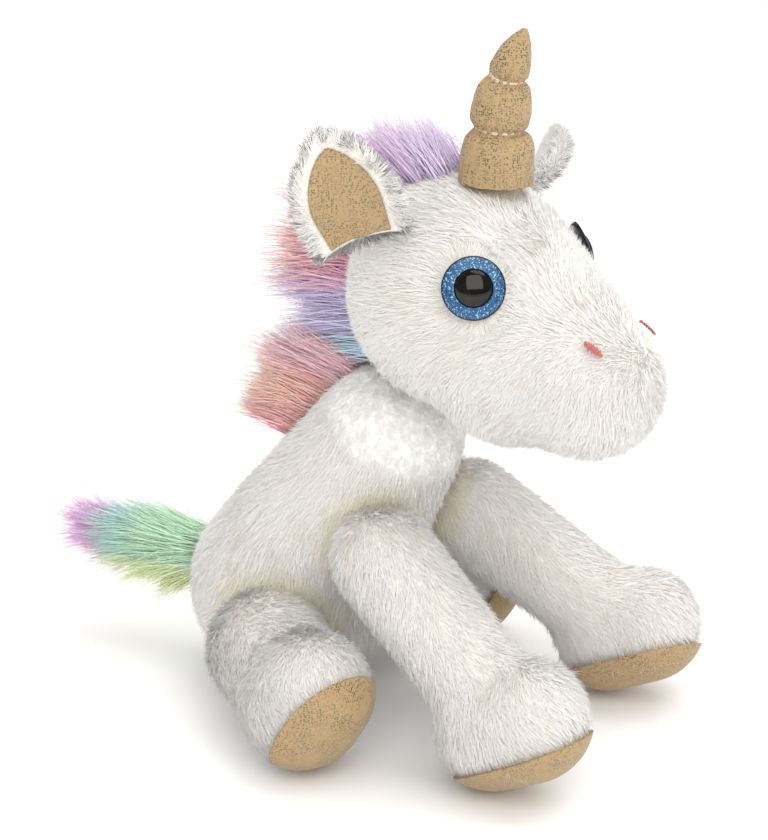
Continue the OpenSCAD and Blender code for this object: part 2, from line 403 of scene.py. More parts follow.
class Sheet:
    """A material's node tree with short ways to add and join nodes."""

    def __init__(self, tree: bpy.types.NodeTree) -> None:
        """Keeps the tree to work in."""
        self.tree = tree

    def node(self, kind: str, **values: object) -> bpy.types.Node:
        """Adds a node.

        Args:
            kind: Its type name.
            **values: Properties to set on it.

        Returns:
            The node.
        """
        made = self.tree.nodes.new(kind)
        for key, value in values.items():
            setattr(made, key, value)
        return made

    def join(self, source: bpy.types.NodeSocket, target: bpy.types.NodeSocket) -> None:
        """Links two sockets."""
        self.tree.links.new(source, target)

    def feed(self, target: bpy.types.NodeSocket, value: object) -> None:
        """Links a socket to the target, or sets the target's own value."""
        if isinstance(value, bpy.types.NodeSocket):
            self.join(value, target)
        else:
            target.default_value = value

    def mix(self, share: object, a: object, b: object, blend: str = "MIX") -> bpy.types.NodeSocket:
        """Mixes two colours.

        Args:
            share: Factor, a number or a socket.
            a: First colour.
            b: Second colour.
            blend: Blend type.

        Returns:
            The mixed colour's socket.
        """
        made = self.node("ShaderNodeMix", data_type="RGBA", blend_type=blend)
        self.feed(made.inputs[0], share)
        self.feed(made.inputs[6], a)
        self.feed(made.inputs[7], b)
        return made.outputs[2]

    def math(self, operation: str, a: object, b: object = 0.0, clamp: bool = False) -> bpy.types.NodeSocket:
        """Does one sum.

        Args:
            operation: Math node operation.
            a: First value.
            b: Second value.
            clamp: Whether the result is held between 0 and 1.

        Returns:
            The result's socket.
        """
        made = self.node("ShaderNodeMath", operation=operation, use_clamp=clamp)
        self.feed(made.inputs[0], a)
        self.feed(made.inputs[1], b)
        return made.outputs[0]

    def ramp(self, value: object, low: float, high: float) -> bpy.types.NodeSocket:
        """Maps low..high to 0..1, smoothly and held at the ends."""
        made = self.node("ShaderNodeMapRange", interpolation_type="SMOOTHSTEP")
        self.feed(made.inputs[0], value)
        made.inputs[1].default_value = low
        made.inputs[2].default_value = high
        return made.outputs[0]

    def place(self) -> bpy.types.NodeSocket:
        """Object coordinates."""
        return self.node("ShaderNodeTexCoord").outputs["Object"]

    def noise(self, scale: float, detail: float = 2.0, where: object = None) -> bpy.types.NodeSocket:
        """Noise value on object coordinates.

        Args:
            scale: Cells per metre.
            detail: Octaves.
            where: Coordinates to use in place of the object's own.

        Returns:
            The value's socket, about 0.5 on average.
        """
        made = self.node("ShaderNodeTexNoise")
        self.feed(made.inputs["Vector"], where or self.place())
        made.inputs["Scale"].default_value = scale
        made.inputs["Detail"].default_value = detail
        return made.outputs["Fac"]

    def bump(self, height: object, strength: float, distance: float) -> bpy.types.NodeSocket:
        """Normal bent by a height."""
        made = self.node("ShaderNodeBump")
        made.inputs["Strength"].default_value = strength
        made.inputs["Distance"].default_value = distance
        self.feed(made.inputs["Height"], height)
        return made.outputs["Normal"]


def rgba(shade: Shade) -> tuple[float, float, float, float]:
    """A colour with full alpha."""
    return (*shade, 1.0)


def srgb(text: str) -> Shade:
    """Linear colour from six hex digits.

    Args:
        text: Such as "E6E3DE".

    Returns:
        Linear red, green and blue.
    """
    parts = [int(text[i : i + 2], 16) / 255 for i in (0, 2, 4)]
    r, g, b = (c / 12.92 if c < 0.04045 else ((c + 0.055) / 1.055) ** 2.4 for c in parts)
    return (r, g, b)


def new_material(name: str) -> tuple[bpy.types.Material, Sheet, bpy.types.Node]:
    """A material with a Principled shader on its own.

    Args:
        name: The material's name.

    Returns:
        The material, its sheet and the shader node.
    """
    made = bpy.data.materials.new(name)
    made.use_nodes = True
    shader = next(n for n in made.node_tree.nodes if n.type == "BSDF_PRINCIPLED")
    return made, Sheet(made.node_tree), shader


class Groups:
    """Shader node groups that more than one material uses, each made once."""

    made: dict[str, bpy.types.NodeTree] = {}

    @classmethod
    def fibre_mottle(cls) -> bpy.types.NodeTree:
        """Soft patches and fine streaks, as in pile that was stroked and pressed.

        Returns:
            The group: inputs Patch Size and Streak Size, outputs Patch and Streak.
        """
        if "fibre_mottle" in cls.made:
            return cls.made["fibre_mottle"]
        tree = bpy.data.node_groups.new("fibre_mottle", "ShaderNodeTree")
        tree.interface.new_socket("Patch Scale", in_out="INPUT", socket_type="NodeSocketFloat")
        tree.interface.new_socket("Streak Scale", in_out="INPUT", socket_type="NodeSocketFloat")
        tree.interface.new_socket("Patch", in_out="OUTPUT", socket_type="NodeSocketFloat")
        tree.interface.new_socket("Streak", in_out="OUTPUT", socket_type="NodeSocketFloat")
        sheet = Sheet(tree)
        given = sheet.node("NodeGroupInput")
        out = sheet.node("NodeGroupOutput")
        patch = sheet.node("ShaderNodeTexNoise")
        sheet.join(sheet.place(), patch.inputs["Vector"])
        sheet.join(given.outputs["Patch Scale"], patch.inputs["Scale"])
        patch.inputs["Detail"].default_value = 3
        patch.inputs["Distortion"].default_value = 0.6
        streak = sheet.node("ShaderNodeTexNoise")
        turned = sheet.node("ShaderNodeMapping")
        turned.inputs["Scale"].default_value = (1.0, 0.8, 0.3)
        sheet.join(sheet.place(), turned.inputs["Vector"])
        sheet.join(turned.outputs["Vector"], streak.inputs["Vector"])
        sheet.join(given.outputs["Streak Scale"], streak.inputs["Scale"])
        streak.inputs["Detail"].default_value = 2
        sheet.join(sheet.ramp(patch.outputs["Fac"], 0.5, 0.72), out.inputs["Patch"])
        sheet.join(sheet.ramp(streak.outputs["Fac"], 0.35, 0.7), out.inputs["Streak"])
        cls.made["fibre_mottle"] = tree
        return tree

    @classmethod
    def foil_dots(cls) -> bpy.types.NodeTree:
        """Tiny dots of foil printed close together on knit.

        Returns:
            The group: input Dot Scale, outputs Dot, Luck and Knit.
        """
        if "foil_dots" in cls.made:
            return cls.made["foil_dots"]
        tree = bpy.data.node_groups.new("foil_dots", "ShaderNodeTree")
        tree.interface.new_socket("Dot Scale", in_out="INPUT", socket_type="NodeSocketFloat")
        for name in ("Dot", "Luck", "Knit"):
            tree.interface.new_socket(name, in_out="OUTPUT", socket_type="NodeSocketFloat")
        sheet = Sheet(tree)
        given = sheet.node("NodeGroupInput")
        out = sheet.node("NodeGroupOutput")
        cells = sheet.node("ShaderNodeTexVoronoi")
        cells.inputs["Randomness"].default_value = 0.55
        sheet.join(sheet.place(), cells.inputs["Vector"])
        sheet.join(given.outputs["Dot Scale"], cells.inputs["Scale"])
        near = sheet.ramp(cells.outputs["Distance"], 0.5, 0.28)
        split = sheet.node("ShaderNodeSeparateColor")
        sheet.join(cells.outputs["Color"], split.inputs[0])
        sheet.join(near, out.inputs["Dot"])
        sheet.join(split.outputs[0], out.inputs["Luck"])
        knit = sheet.node("ShaderNodeTexNoise")
        sheet.join(sheet.place(), knit.inputs["Vector"])
        knit.inputs["Scale"].default_value = 900
        knit.inputs["Detail"].default_value = 2
        sheet.join(knit.outputs["Fac"], out.inputs["Knit"])
        cls.made["foil_dots"] = tree
        return tree

    @classmethod
    def place_group(cls, sheet: Sheet, tree: bpy.types.NodeTree, **values: float) -> bpy.types.Node:
        """Puts a group in a material.

        Args:
            sheet: The material's sheet.
            tree: The group.
            **values: Inputs by name, with underscores for spaces.

        Returns:
            The group node.
        """
        made = sheet.node("ShaderNodeGroup", node_tree=tree)
        for key, value in values.items():
            made.inputs[key.replace("_", " ")].default_value = value
        return made


# ---------------------------------------------------------------- finishes


@dataclass(frozen=True)
class PileFinish:
    """White plush pile: light tips, warmer roots painted with the shade between the hairs, beige where it was
    pressed, and a cream tint painted in the creases as warm shade.
    """

    name: str = "white_pile"
    tip: Shade = (0.95, 0.935, 0.905)
    # Painted shade: the roots are warmer and darker than the tips, for the shade down between the hairs.
    root: Shade = (0.93, 0.885, 0.80)
    beige: Shade = (0.82, 0.74, 0.61)
    # Painted shade: a warm cream tint put in the creases, standing in for light glowing warm between the fur
    # there.
    cream: Shade = (0.93, 0.83, 0.55)

    def build(self) -> bpy.types.Material:
        """Makes the material.

        Returns:
            The material; it reads the attribute "pile": along, luck and painted crease shade.
        """
        made, sheet, shader = new_material(self.name)
        read = sheet.node("ShaderNodeAttribute", attribute_name="pile")
        split = sheet.node("ShaderNodeSeparateColor")
        sheet.join(read.outputs["Color"], split.inputs[0])
        along, luck, warmth = split.outputs[0], split.outputs[1], split.outputs[2]
        mottle = Groups.place_group(sheet, Groups.fibre_mottle(), Patch_Scale=62.0, Streak_Scale=420.0)
        # Painted shade: the colour warms and darkens from tip to root, where shade falls between the hairs.
        base = sheet.mix(sheet.ramp(along, 0.0, 0.7), rgba(self.root), rgba(self.tip))
        patchy = sheet.math("MULTIPLY", mottle.outputs["Patch"], mottle.outputs["Streak"])
        lucky = sheet.ramp(luck, 0.2, 1.0)
        patchy = sheet.math("MULTIPLY", patchy, sheet.math("MULTIPLY_ADD", lucky, 0.5))
        patchy = sheet.math("MULTIPLY", patchy, 0.85, clamp=True)
        base = sheet.mix(patchy, base, rgba(self.beige))
        # Painted shade: mixes in the cream tint where the third channel marks the creases by the legs, head
        # and torso.
        base = sheet.mix(sheet.math("MULTIPLY", warmth, 0.75), base, rgba(self.cream))
        sheet.join(base, shader.inputs["Base Color"])
        shader.inputs["Roughness"].default_value = 0.85
        shader.inputs["Specular IOR Level"].default_value = 0.2
        shader.inputs["Sheen Weight"].default_value = 0.7
        shader.inputs["Sheen Roughness"].default_value = 0.6
        return made


@dataclass(frozen=True)
class BackingFinish:
    """The knitted backing that pile is sewn in, seen only between the hairs."""

    name: str = "pile_backing"
    shade: Shade = (0.92, 0.88, 0.80)

    def build(self) -> bpy.types.Material:
        """Makes the material.

        Returns:
            The material.
        """
        made, sheet, shader = new_material(self.name)
        weave = sheet.node("ShaderNodeTexVoronoi")
        sheet.join(sheet.place(), weave.inputs["Vector"])
        weave.inputs["Scale"].default_value = 900
        base = sheet.mix(
            weave.outputs["Distance"], rgba(self.shade), rgba(tuple(0.8 * c for c in self.shade))
        )
        sheet.join(base, shader.inputs["Base Color"])
        sheet.join(sheet.bump(weave.outputs["Distance"], 0.6, 0.4 * MM), shader.inputs["Normal"])
        shader.inputs["Roughness"].default_value = 0.95
        return made


@dataclass(frozen=True)
class LongPileFinish:
    """Dyed long pile: the hair's own colour, streaked and a little paler at the tip."""

    name: str

    def build(self) -> bpy.types.Material:
        """Makes the material.

        Returns:
            The material; it reads the attribute "tint".
        """
        made, sheet, shader = new_material(self.name)
        read = sheet.node("ShaderNodeAttribute", attribute_name="tint")
        streak = sheet.noise(700, 3)
        base = sheet.mix(
            sheet.math("MULTIPLY", sheet.ramp(streak, 0.35, 0.75), 0.35),
            read.outputs["Color"],
            (1.0, 0.97, 0.95, 1.0),
        )
        sheet.join(base, shader.inputs["Base Color"])
        shader.inputs["Roughness"].default_value = 0.6
        shader.inputs["Specular IOR Level"].default_value = 0.3
        shader.inputs["Sheen Weight"].default_value = 0.2
        return made


@dataclass(frozen=True)
class FoilFinish:
    """Tan knit printed with close dots of gold foil."""

    name: str = "gold_foil"
    knit: Shade = (0.38, 0.26, 0.13)
    foil: Shade = (0.20, 0.18, 0.12)
    dot_scale: float = 1150.0

    def build(self) -> bpy.types.Material:
        """Makes the material.

        Returns:
            The material.
        """
        made, sheet, shader = new_material(self.name)
        dots = Groups.place_group(sheet, Groups.foil_dots(), Dot_Scale=self.dot_scale)
        dot, luck, knit = (dots.outputs[k] for k in ("Dot", "Luck", "Knit"))
        cloth = sheet.mix(knit, rgba(self.knit), rgba(tuple(c * 1.25 for c in self.knit)))
        worn = sheet.ramp(sheet.noise(130, 2), 0.25, 0.6)
        share = sheet.math("MULTIPLY", dot, sheet.math("MULTIPLY", worn, sheet.ramp(luck, 0.05, 0.3)))
        base = sheet.mix(share, cloth, rgba(self.foil))
        sheet.join(base, shader.inputs["Base Color"])
        sheet.join(sheet.math("MULTIPLY", share, 0.85), shader.inputs["Metallic"])
        rough = sheet.node("ShaderNodeMapRange")
        sheet.join(share, rough.inputs[0])
        rough.inputs[3].default_value = 0.8
        rough.inputs[4].default_value = 0.34
        sheet.join(rough.outputs[0], shader.inputs["Roughness"])
        height = sheet.math("ADD", dot, sheet.math("MULTIPLY", knit, 0.6))
        height = sheet.math("ADD", height, sheet.math("MULTIPLY", luck, 0.5))
        sheet.join(sheet.bump(height, 0.5, 0.25 * MM), shader.inputs["Normal"])
        shader.inputs["Sheen Weight"].default_value = 0.15
        return made


@dataclass(frozen=True)
class ThreadFinish:
    """Twisted sewing thread."""

    name: str
    shade: Shade
    gloss: float = 0.45

    def build(self) -> bpy.types.Material:
        """Makes the material.

        Returns:
            The material.
        """
        made, sheet, shader = new_material(self.name)
        fine = sheet.noise(2600, 2)
        # Painted shade: the thread is darker where the bump's noise is low, in the grooves between its
        # twisted plies.
        between = rgba(tuple(0.72 * c for c in self.shade))
        base = sheet.mix(sheet.ramp(fine, 0.3, 0.7), between, rgba(self.shade))
        sheet.join(base, shader.inputs["Base Color"])
        sheet.join(sheet.bump(fine, 0.6, 0.2 * MM), shader.inputs["Normal"])
        shader.inputs["Roughness"].default_value = self.gloss
        shader.inputs["Sheen Weight"].default_value = 0.2
        return made


@dataclass(frozen=True)
class EyePlasticFinish:
    """Glossy black moulded plastic, with the faintest rubbed haze."""

    name: str = "eye_plastic"

    def build(self) -> bpy.types.Material:
        """Makes the material.

        Returns:
            The material.
        """
        made, sheet, shader = new_material(self.name)
        haze = sheet.ramp(sheet.noise(300, 3), 0.45, 0.8)
        base = sheet.mix(haze, (0.004, 0.003, 0.003, 1), (0.010, 0.008, 0.007, 1))
        sheet.join(base, shader.inputs["Base Color"])
        rough = sheet.node("ShaderNodeMapRange")
        sheet.join(haze, rough.inputs[0])
        rough.inputs[3].default_value = 0.06
        rough.inputs[4].default_value = 0.13
        sheet.join(rough.outputs[0], shader.inputs["Roughness"])
        shader.inputs["Specular IOR Level"].default_value = 0.45
        return made


@dataclass(frozen=True)
class GlitterFinish:
    """Blue glitter set in clear lacquer, with glints painted on some flakes, dark towards its rim."""

    name: str = "glitter"
    deep: Shade = (0.003, 0.03, 0.10)
    bright: Shade = (0.02, 0.13, 0.30)
    # Painted glint: colour of the flakes that are drawn as catching the light.
    spark: Shade = (0.30, 0.62, 0.80)

    def build(self) -> bpy.types.Material:
        """Makes the material.

        Returns:
            The material; it reads the attribute "rim", 0 inside and 1 at the outer edge.
        """
        made, sheet, shader = new_material(self.name)
        flakes = sheet.node("ShaderNodeTexVoronoi")
        sheet.join(sheet.place(), flakes.inputs["Vector"])
        flakes.inputs["Scale"].default_value = 2900
        split = sheet.node("ShaderNodeSeparateColor")
        sheet.join(flakes.outputs["Color"], split.inputs[0])
        base = sheet.mix(sheet.ramp(split.outputs[0], 0.1, 0.85), rgba(self.deep), rgba(self.bright))
        # Painted glints: a few flakes picked at random are made bright, standing in for flakes that catch the
        # light.
        base = sheet.mix(sheet.ramp(split.outputs[1], 0.84, 0.97), base, rgba(self.spark))
        rim = sheet.node("ShaderNodeAttribute", attribute_name="rim")
        edge = sheet.math("ADD", rim.outputs["Fac"], sheet.math("MULTIPLY", sheet.noise(900, 2), 0.16))
        ragged = sheet.ramp(edge, 0.93, 1.0)
        base = sheet.mix(ragged, base, (0.004, 0.006, 0.012, 1))
        sheet.join(base, shader.inputs["Base Color"])
        sheet.join(sheet.math("MULTIPLY", split.outputs[2], 0.35), shader.inputs["Metallic"])
        shader.inputs["Roughness"].default_value = 0.38
        sheet.join(sheet.bump(split.outputs[0], 0.35, 0.15 * MM), shader.inputs["Normal"])
        shader.inputs["Coat Weight"].default_value = 0.3
        shader.inputs["Coat Roughness"].default_value = 0.2
        return made


@dataclass(frozen=True)
class StuffingFinish:
    """White polyester fibre filling."""

    name: str = "stuffing_fibre"

    def build(self) -> bpy.types.Material:
        """Makes the material.

        Returns:
            The material.
        """
        made, sheet, shader = new_material(self.name)
        fluff = sheet.noise(260, 6)
        base = sheet.mix(sheet.ramp(fluff, 0.3, 0.7), (0.80, 0.79, 0.77, 1), (0.93, 0.93, 0.92, 1))
        sheet.join(base, shader.inputs["Base Color"])
        sheet.join(sheet.bump(fluff, 0.8, 1.5 * MM), shader.inputs["Normal"])
        shader.inputs["Roughness"].default_value = 0.95
        return made


@dataclass(frozen=True)
class WasherFinish:
    """Milky moulded plastic of the hidden washers."""

    name: str = "washer_plastic"

    def build(self) -> bpy.types.Material:
        """Makes the material.

        Returns:
            The material.
        """
        made, sheet, shader = new_material(self.name)
        grain = sheet.noise(500, 3)
        base = sheet.mix(grain, (0.72, 0.70, 0.66, 1), (0.82, 0.81, 0.78, 1))
        sheet.join(base, shader.inputs["Base Color"])
        sheet.join(sheet.bump(grain, 0.2, 0.2 * MM), shader.inputs["Normal"])
        shader.inputs["Roughness"].default_value = 0.45
        return made


class Finishes:
    """Every finish of the toy, made once."""

    def __init__(self) -> None:
        """Builds the materials."""
        self.pile = PileFinish().build()
        self.backing = BackingFinish().build()
        self.mane = LongPileFinish("mane_pile").build()
        self.tail = LongPileFinish("tail_pile").build()
        self.foil = FoilFinish().build()
        self.nostril = ThreadFinish("nostril_thread", srgb("C8706E")).build()
        self.tie = ThreadFinish("tie_thread", srgb("E9DCC8"), 0.6).build()
        self.eye = EyePlasticFinish().build()
        self.glitter = GlitterFinish().build()
        self.stuffing = StuffingFinish().build()
        self.washer = WasherFinish().build()


def dress(obj: bpy.types.Object, material: bpy.types.Material) -> None:
    """Gives a piece its one material."""
    obj.data.materials.clear()
    obj.data.materials.append(material)


# ---------------------------------------------------------------- pile


def strand_object(
    name: str,
    paths: Array,
    widths: Array,
    attribute: str,
    values: Array,
    facing: Array | None = None,
) -> bpy.types.Object:
    """Tapered three-sided hairs, closed at the root, pointed at the tip.

    Thousands of hairs are laid out as arrays here, because no mesh operator strews them in a
    reasonable time.

    Args:
        name: The piece's name.
        paths: Points of each hair from root to tip, hairs by points by 3.
        widths: Width of each hair at its root.
        attribute: Name of the colour attribute that the material reads.
        values: Its values, hairs by points by 3.
        facing: Normals of the ground that the hairs stand on; the hairs are shaded with them.

    Returns:
        The piece.
    """
    count, knots, _ = paths.shape
    rings = knots - 1
    along = unit(np.gradient(paths, axis=1))
    guide = np.tile(np.array([0.31, 0.47, 0.82]), (count, 1))
    side = unit(np.cross(along, guide[:, None, :]))
    other = np.cross(along, side)
    taper = np.linspace(1.0, 0.25, knots) ** 0.8
    points = np.zeros((count, rings * 3 + 1, 3))
    normals = np.zeros_like(points) if facing is None else np.repeat(facing[:, None], rings * 3 + 1, axis=1)
    turn = hashed(np.stack([np.arange(count)] * 3, axis=1), 5) * 2 * math.pi
    for corner in range(3):
        angle = turn + corner * 2 * math.pi / 3
        out = side * np.cos(angle)[:, None, None] + other * np.sin(angle)[:, None, None]
        ring = paths + out * (widths[:, None] * taper[None, :])[:, :, None] * 0.5
        points[:, corner : rings * 3 : 3] = ring[:, :rings]
        normals[:, corner : rings * 3 : 3] += ROUND_SHINE * out[:, :rings]
    points[:, -1] = paths[:, -1]
    quads, triangles = [], [[2, 1, 0]]
    for ring in range(rings - 1):
        for corner in range(3):
            a, b = ring * 3 + corner, ring * 3 + (corner + 1) % 3
            quads.append([a, b, b + 3, a + 3])
    for corner in range(3):
        a, b = (rings - 1) * 3 + corner, (rings - 1) * 3 + (corner + 1) % 3
        triangles.append([a, b, rings * 3])
    per = rings * 3 + 1
    shift = (np.arange(count) * per)[:, None, None]
    quad_loops = (np.array(quads)[None] + shift).reshape(-1) if quads else np.zeros(0, int)
    tri_loops = (np.array(triangles)[None] + shift).reshape(-1)
    loops = np.concatenate([quad_loops, tri_loops])
    quad_count, tri_count = len(quads) * count, len(triangles) * count
    starts = np.concatenate(
        [np.arange(quad_count) * 4, quad_count * 4 + np.arange(tri_count) * 3]
    )
    mesh = bpy.data.meshes.new(name)
    mesh.vertices.add(count * per)
    mesh.vertices.foreach_set("co", points.reshape(-1).astype(np.float32))
    mesh.loops.add(len(loops))
    mesh.loops.foreach_set("vertex_index", loops.astype(np.int32))
    mesh.polygons.add(quad_count + tri_count)
    mesh.polygons.foreach_set("loop_start", starts.astype(np.int32))
    mesh.polygons.foreach_set("use_smooth", np.ones(quad_count + tri_count, bool))
    mesh.update(calc_edges=True)
    mesh.validate()
    spread = np.zeros((count, per, 4), np.float32)
    spread[:, :, 3] = 1
    for corner in range(3):
        spread[:, corner : rings * 3 : 3, :3] = values[:, :rings]
    spread[:, -1, :3] = values[:, -1]
    colour = mesh.color_attributes.new(attribute, "FLOAT_COLOR", "POINT")
    colour.data.foreach_set("color", spread.reshape(-1))
    if facing is not None:
        mesh.normals_split_custom_set_from_vertices(unit(normals.reshape(-1, 3)))
    return new_object(name, mesh)


def strew(skin: bpy.types.Object, count: int, seed: int) -> tuple[Array, Array]:
    """Even random places on a piece, with the normals there.

    Args:
        skin: The piece, whose modifiers are taken as applied.
        count: How many places.
        seed: Seed of the random series.

    Returns:
        Places and normals.
    """
    mesh = settled(skin)
    mesh.calc_loop_triangles()
    corners = np.zeros(len(mesh.loop_triangles) * 3, np.int32)
    mesh.loop_triangles.foreach_get("vertices", corners)
    corners = corners.reshape(-1, 3)
    co = coordinates(mesh)
    normals = np.zeros(len(mesh.vertices) * 3, np.float32)
    mesh.vertices.foreach_get("normal", normals)
    normals = normals.reshape(-1, 3).astype(float)
    a, b, c = co[corners[:, 0]], co[corners[:, 1]], co[corners[:, 2]]
    area = np.linalg.norm(np.cross(b - a, c - a), axis=1)
    rng = np.random.default_rng(seed)
    total = np.cumsum(area)
    # Even steps through the whole area, each shifted a little, leave no bald gaps.
    pick = (np.arange(count) + rng.random(count)) / count * total[-1]
    tri = np.minimum(np.searchsorted(total, pick), len(area) - 1)
    u, v = rng.random(count), rng.random(count)
    flip = u + v > 1
    u[flip], v[flip] = 1 - u[flip], 1 - v[flip]
    w = np.stack([1 - u - v, u, v], axis=1)[:, :, None]
    ids = corners[tri]
    places = (co[ids] * w).sum(axis=1)
    facing = unit((normals[ids] * w).sum(axis=1))
    bpy.data.meshes.remove(mesh)
    return places, facing


# How much of a hair's direction is its lean along the ground, and how far apart hairs stray.
LEAN_SHARE = 0.85
STRAY = 0.13
# Share of the hair's own direction, and of its own roundness, in the way its surface is shaded.
TIP_SHINE = 0.12
ROUND_SHINE = 0.8


@dataclass
class Groom:
    """How a coat lies: its direction, where it grows, how long it is and how much warm shade is painted in
    its creases.
    """

    flow: Callable[[Array, Array], Array]
    keep: Callable[[Array], Array] = lambda p: np.ones(len(p), bool)
    scale: Callable[[Array], Array] = lambda p: np.ones(len(p))
    # Painted shade: how much warm crease tint each place gets.
    warmth: Callable[[Array], Array] = lambda p: np.zeros(len(p))


@dataclass
class Coat:
    """Short plush pile on a skin."""

    length: float = 6.2 * MM
    width: float = 0.52 * MM
    tuft: float = 3.0 * MM
    pull: float = 0.20
    stir: float = 0.22
    rise: float = 0.22
    clear: float = 0.3 * MM
    seed: int = 1

    def grow(self, name: str, skin: bpy.types.Object, count: int, groom: Groom) -> bpy.types.Object:
        """Strews hairs over a skin.

        Args:
            name: The piece's name.
            skin: The skin it grows on.
            count: About how many hairs.
            groom: How they lie.

        Returns:
            The coat, coloured by the attribute "pile".
        """
        trial, _ = strew(skin, count, self.seed)
        share = max(groom.keep(trial).mean(), 0.05)
        roots, facing = strew(skin, int(count / share), self.seed)
        kept = groom.keep(roots)
        roots, facing = roots[kept], facing[kept]
        total = len(roots)
        rng = np.random.default_rng(self.seed + 100)
        centre, luck = nearest_tuft(roots, self.tuft, self.seed)
        flow = groom.flow(roots, facing)
        lean = unit(flow) + self.stir * luck + 0.3 * swirl(roots, 60 * MM, self.seed)
        lean = unit(lean - facing * (lean * facing).sum(axis=1, keepdims=True))
        length = self.length * groom.scale(roots) * (0.75 + 0.5 * rng.random(total))
        shake = rng.normal(0, STRAY, (total, 3))
        tip = roots + unit(facing * self.rise + lean * LEAN_SHARE + shake) * length[:, None]
        flat = centre - roots
        flat -= facing * (flat * facing).sum(axis=1, keepdims=True)
        tip += flat * self.pull
        tip[:, 2] = np.maximum(tip[:, 2], self.clear)
        paths = np.stack([roots - facing * 0.4 * MM, tip], axis=1)
        widths = self.width * (0.7 + 0.6 * rng.random(total))
        values = np.zeros((total, 2, 3))
        values[:, :, 0] = np.array([0.0, 1.0])
        values[:, :, 1] = rng.random(total)[:, None]
        # Third channel: painted warm shade in the creases.
        values[:, :, 2] = groom.warmth(roots)[:, None]
        shine = unit(facing + TIP_SHINE * unit(tip - roots))
        return strand_object(name, paths, widths, "pile", values, shine)


@dataclass
class Lock:
    """A lock of long pile: where it grows, where it points, how long, and its colours."""

    root: Array
    aim: Array
    length: float
    root_shade: Shade
    tip_shade: Shade
    spread: float = 3.5 * MM


@dataclass
class LongPile:
    """Long dyed pile, grown in locks that draw together towards their tips."""

    hairs: int = 80
    width: float = 0.45 * MM
    knots: int = 5
    sag: float = 0.16
    draw: float = 0.6
    seed: int = 1

    def grow(
        self,
        name: str,
        locks: Sequence[Lock],
        shade_at: Callable[[Array, Array], Array] | None = None,
    ) -> bpy.types.Object:
        """Makes one piece of many locks.

        Args:
            name: The piece's name.
            locks: The locks.
            shade_at: Colour by place and by share of the hair's length, in place of the locks' own.

        Returns:
            The piece, coloured by the attribute "tint".
        """
        rng = np.random.default_rng(self.seed)
        s = np.linspace(0, 1, self.knots)
        paths, shades = [], []
        for lock in locks:
            aim = unit(np.array(lock.aim, float))
            start = lock.root + rng.normal(0, lock.spread * 0.5, (self.hairs, 3))
            length = lock.length * (0.55 + 0.45 * rng.random(self.hairs) ** 0.6)
            own = unit(aim + rng.normal(0, 0.10, (self.hairs, 3)))
            swing = rng.normal(0, 1, 3) * 0.10
            wave = rng.random(self.hairs) * 6.3
            draw = self.draw * s**1.4
            heart = lock.root[None, None] * draw[None, :, None]
            base = start[:, None] * (1 - draw)[None, :, None] + heart
            out = own[:, None] * (length[:, None] * s[None])[:, :, None]
            curve = (swing[None, None] + np.array([0, 0, -self.sag])) * (
                length[:, None] * s[None] ** 2
            )[:, :, None]
            ripple = np.sin(s[None] * 5 + wave[:, None]) * 0.5 * MM * s[None]
            bend = np.cross(own, [0.3, 0.2, 1.0])[:, None] * ripple[:, :, None]
            path = base + out + curve + bend
            paths.append(path)
            share = np.broadcast_to(s[None, :, None], (self.hairs, self.knots, 1))
            tone = np.array(lock.root_shade) * (1 - share) + np.array(lock.tip_shade) * share
            tone = tone * (0.93 + 0.14 * rng.random((self.hairs, 1, 1)))
            shades.append(np.clip(tone, 0, 1))
        path = np.concatenate(paths)
        values = np.concatenate(shades)
        if shade_at is not None:
            flat = path.reshape(-1, 3)
            shares = np.tile(s, len(path))
            values = shade_at(flat, shares).reshape(len(path), self.knots, 3)
            values = np.clip(values * (0.93 + 0.14 * rng.random((len(path), 1, 1))), 0, 1)
        widths = self.width * (0.6 + 0.8 * rng.random(len(path)))
        return strand_object(name, path, widths, "tint", values)


# ---------------------------------------------------------------- the toy's forms


def on_floor(x: float, y: float, z: float) -> Vector:
    """A place given from the neck's centre dropped to the floor, in millimetres."""
    return Vector((x * MM, NECK.y + y * MM, z * MM))


PILE_DEPTH = 3.2 * MM


@dataclass
class Torso:
    """The body: a pear from the seat to the neck."""

    belly_r: float = 46 * MM
    neck_r: float = 33 * MM
    belly_h: float = 43 * MM
    neck_lead: float = 47 * MM
    base: float = 0.6 * MM

    @property
    def belly(self) -> Vector:
        """Centre of the belly's ball."""
        return Vector((0, NECK.y + self.neck_lead, self.belly_h))

    def form(self) -> list[Bar]:
        """The torso's outer form, pile included."""
        return [Bar(self.belly, NECK, self.belly_r, self.neck_r)]

    def mould(self, points: Array) -> Array:
        """Flattens the seat on the floor.

        Args:
            points: The skin's points.

        Returns:
            Points no lower than the seat.
        """
        points = points.copy()
        low = self.base
        points[:, 2] = np.where(points[:, 2] < low, low, points[:, 2])
        return points

    def skin(self) -> bpy.types.Object:
        """The stuffed skin before pressing."""
        bars = [b.inset(PILE_DEPTH + 0.6 * MM) for b in self.form()]
        return Skin("torso_cover_skin", bars, mould=self.mould).build()


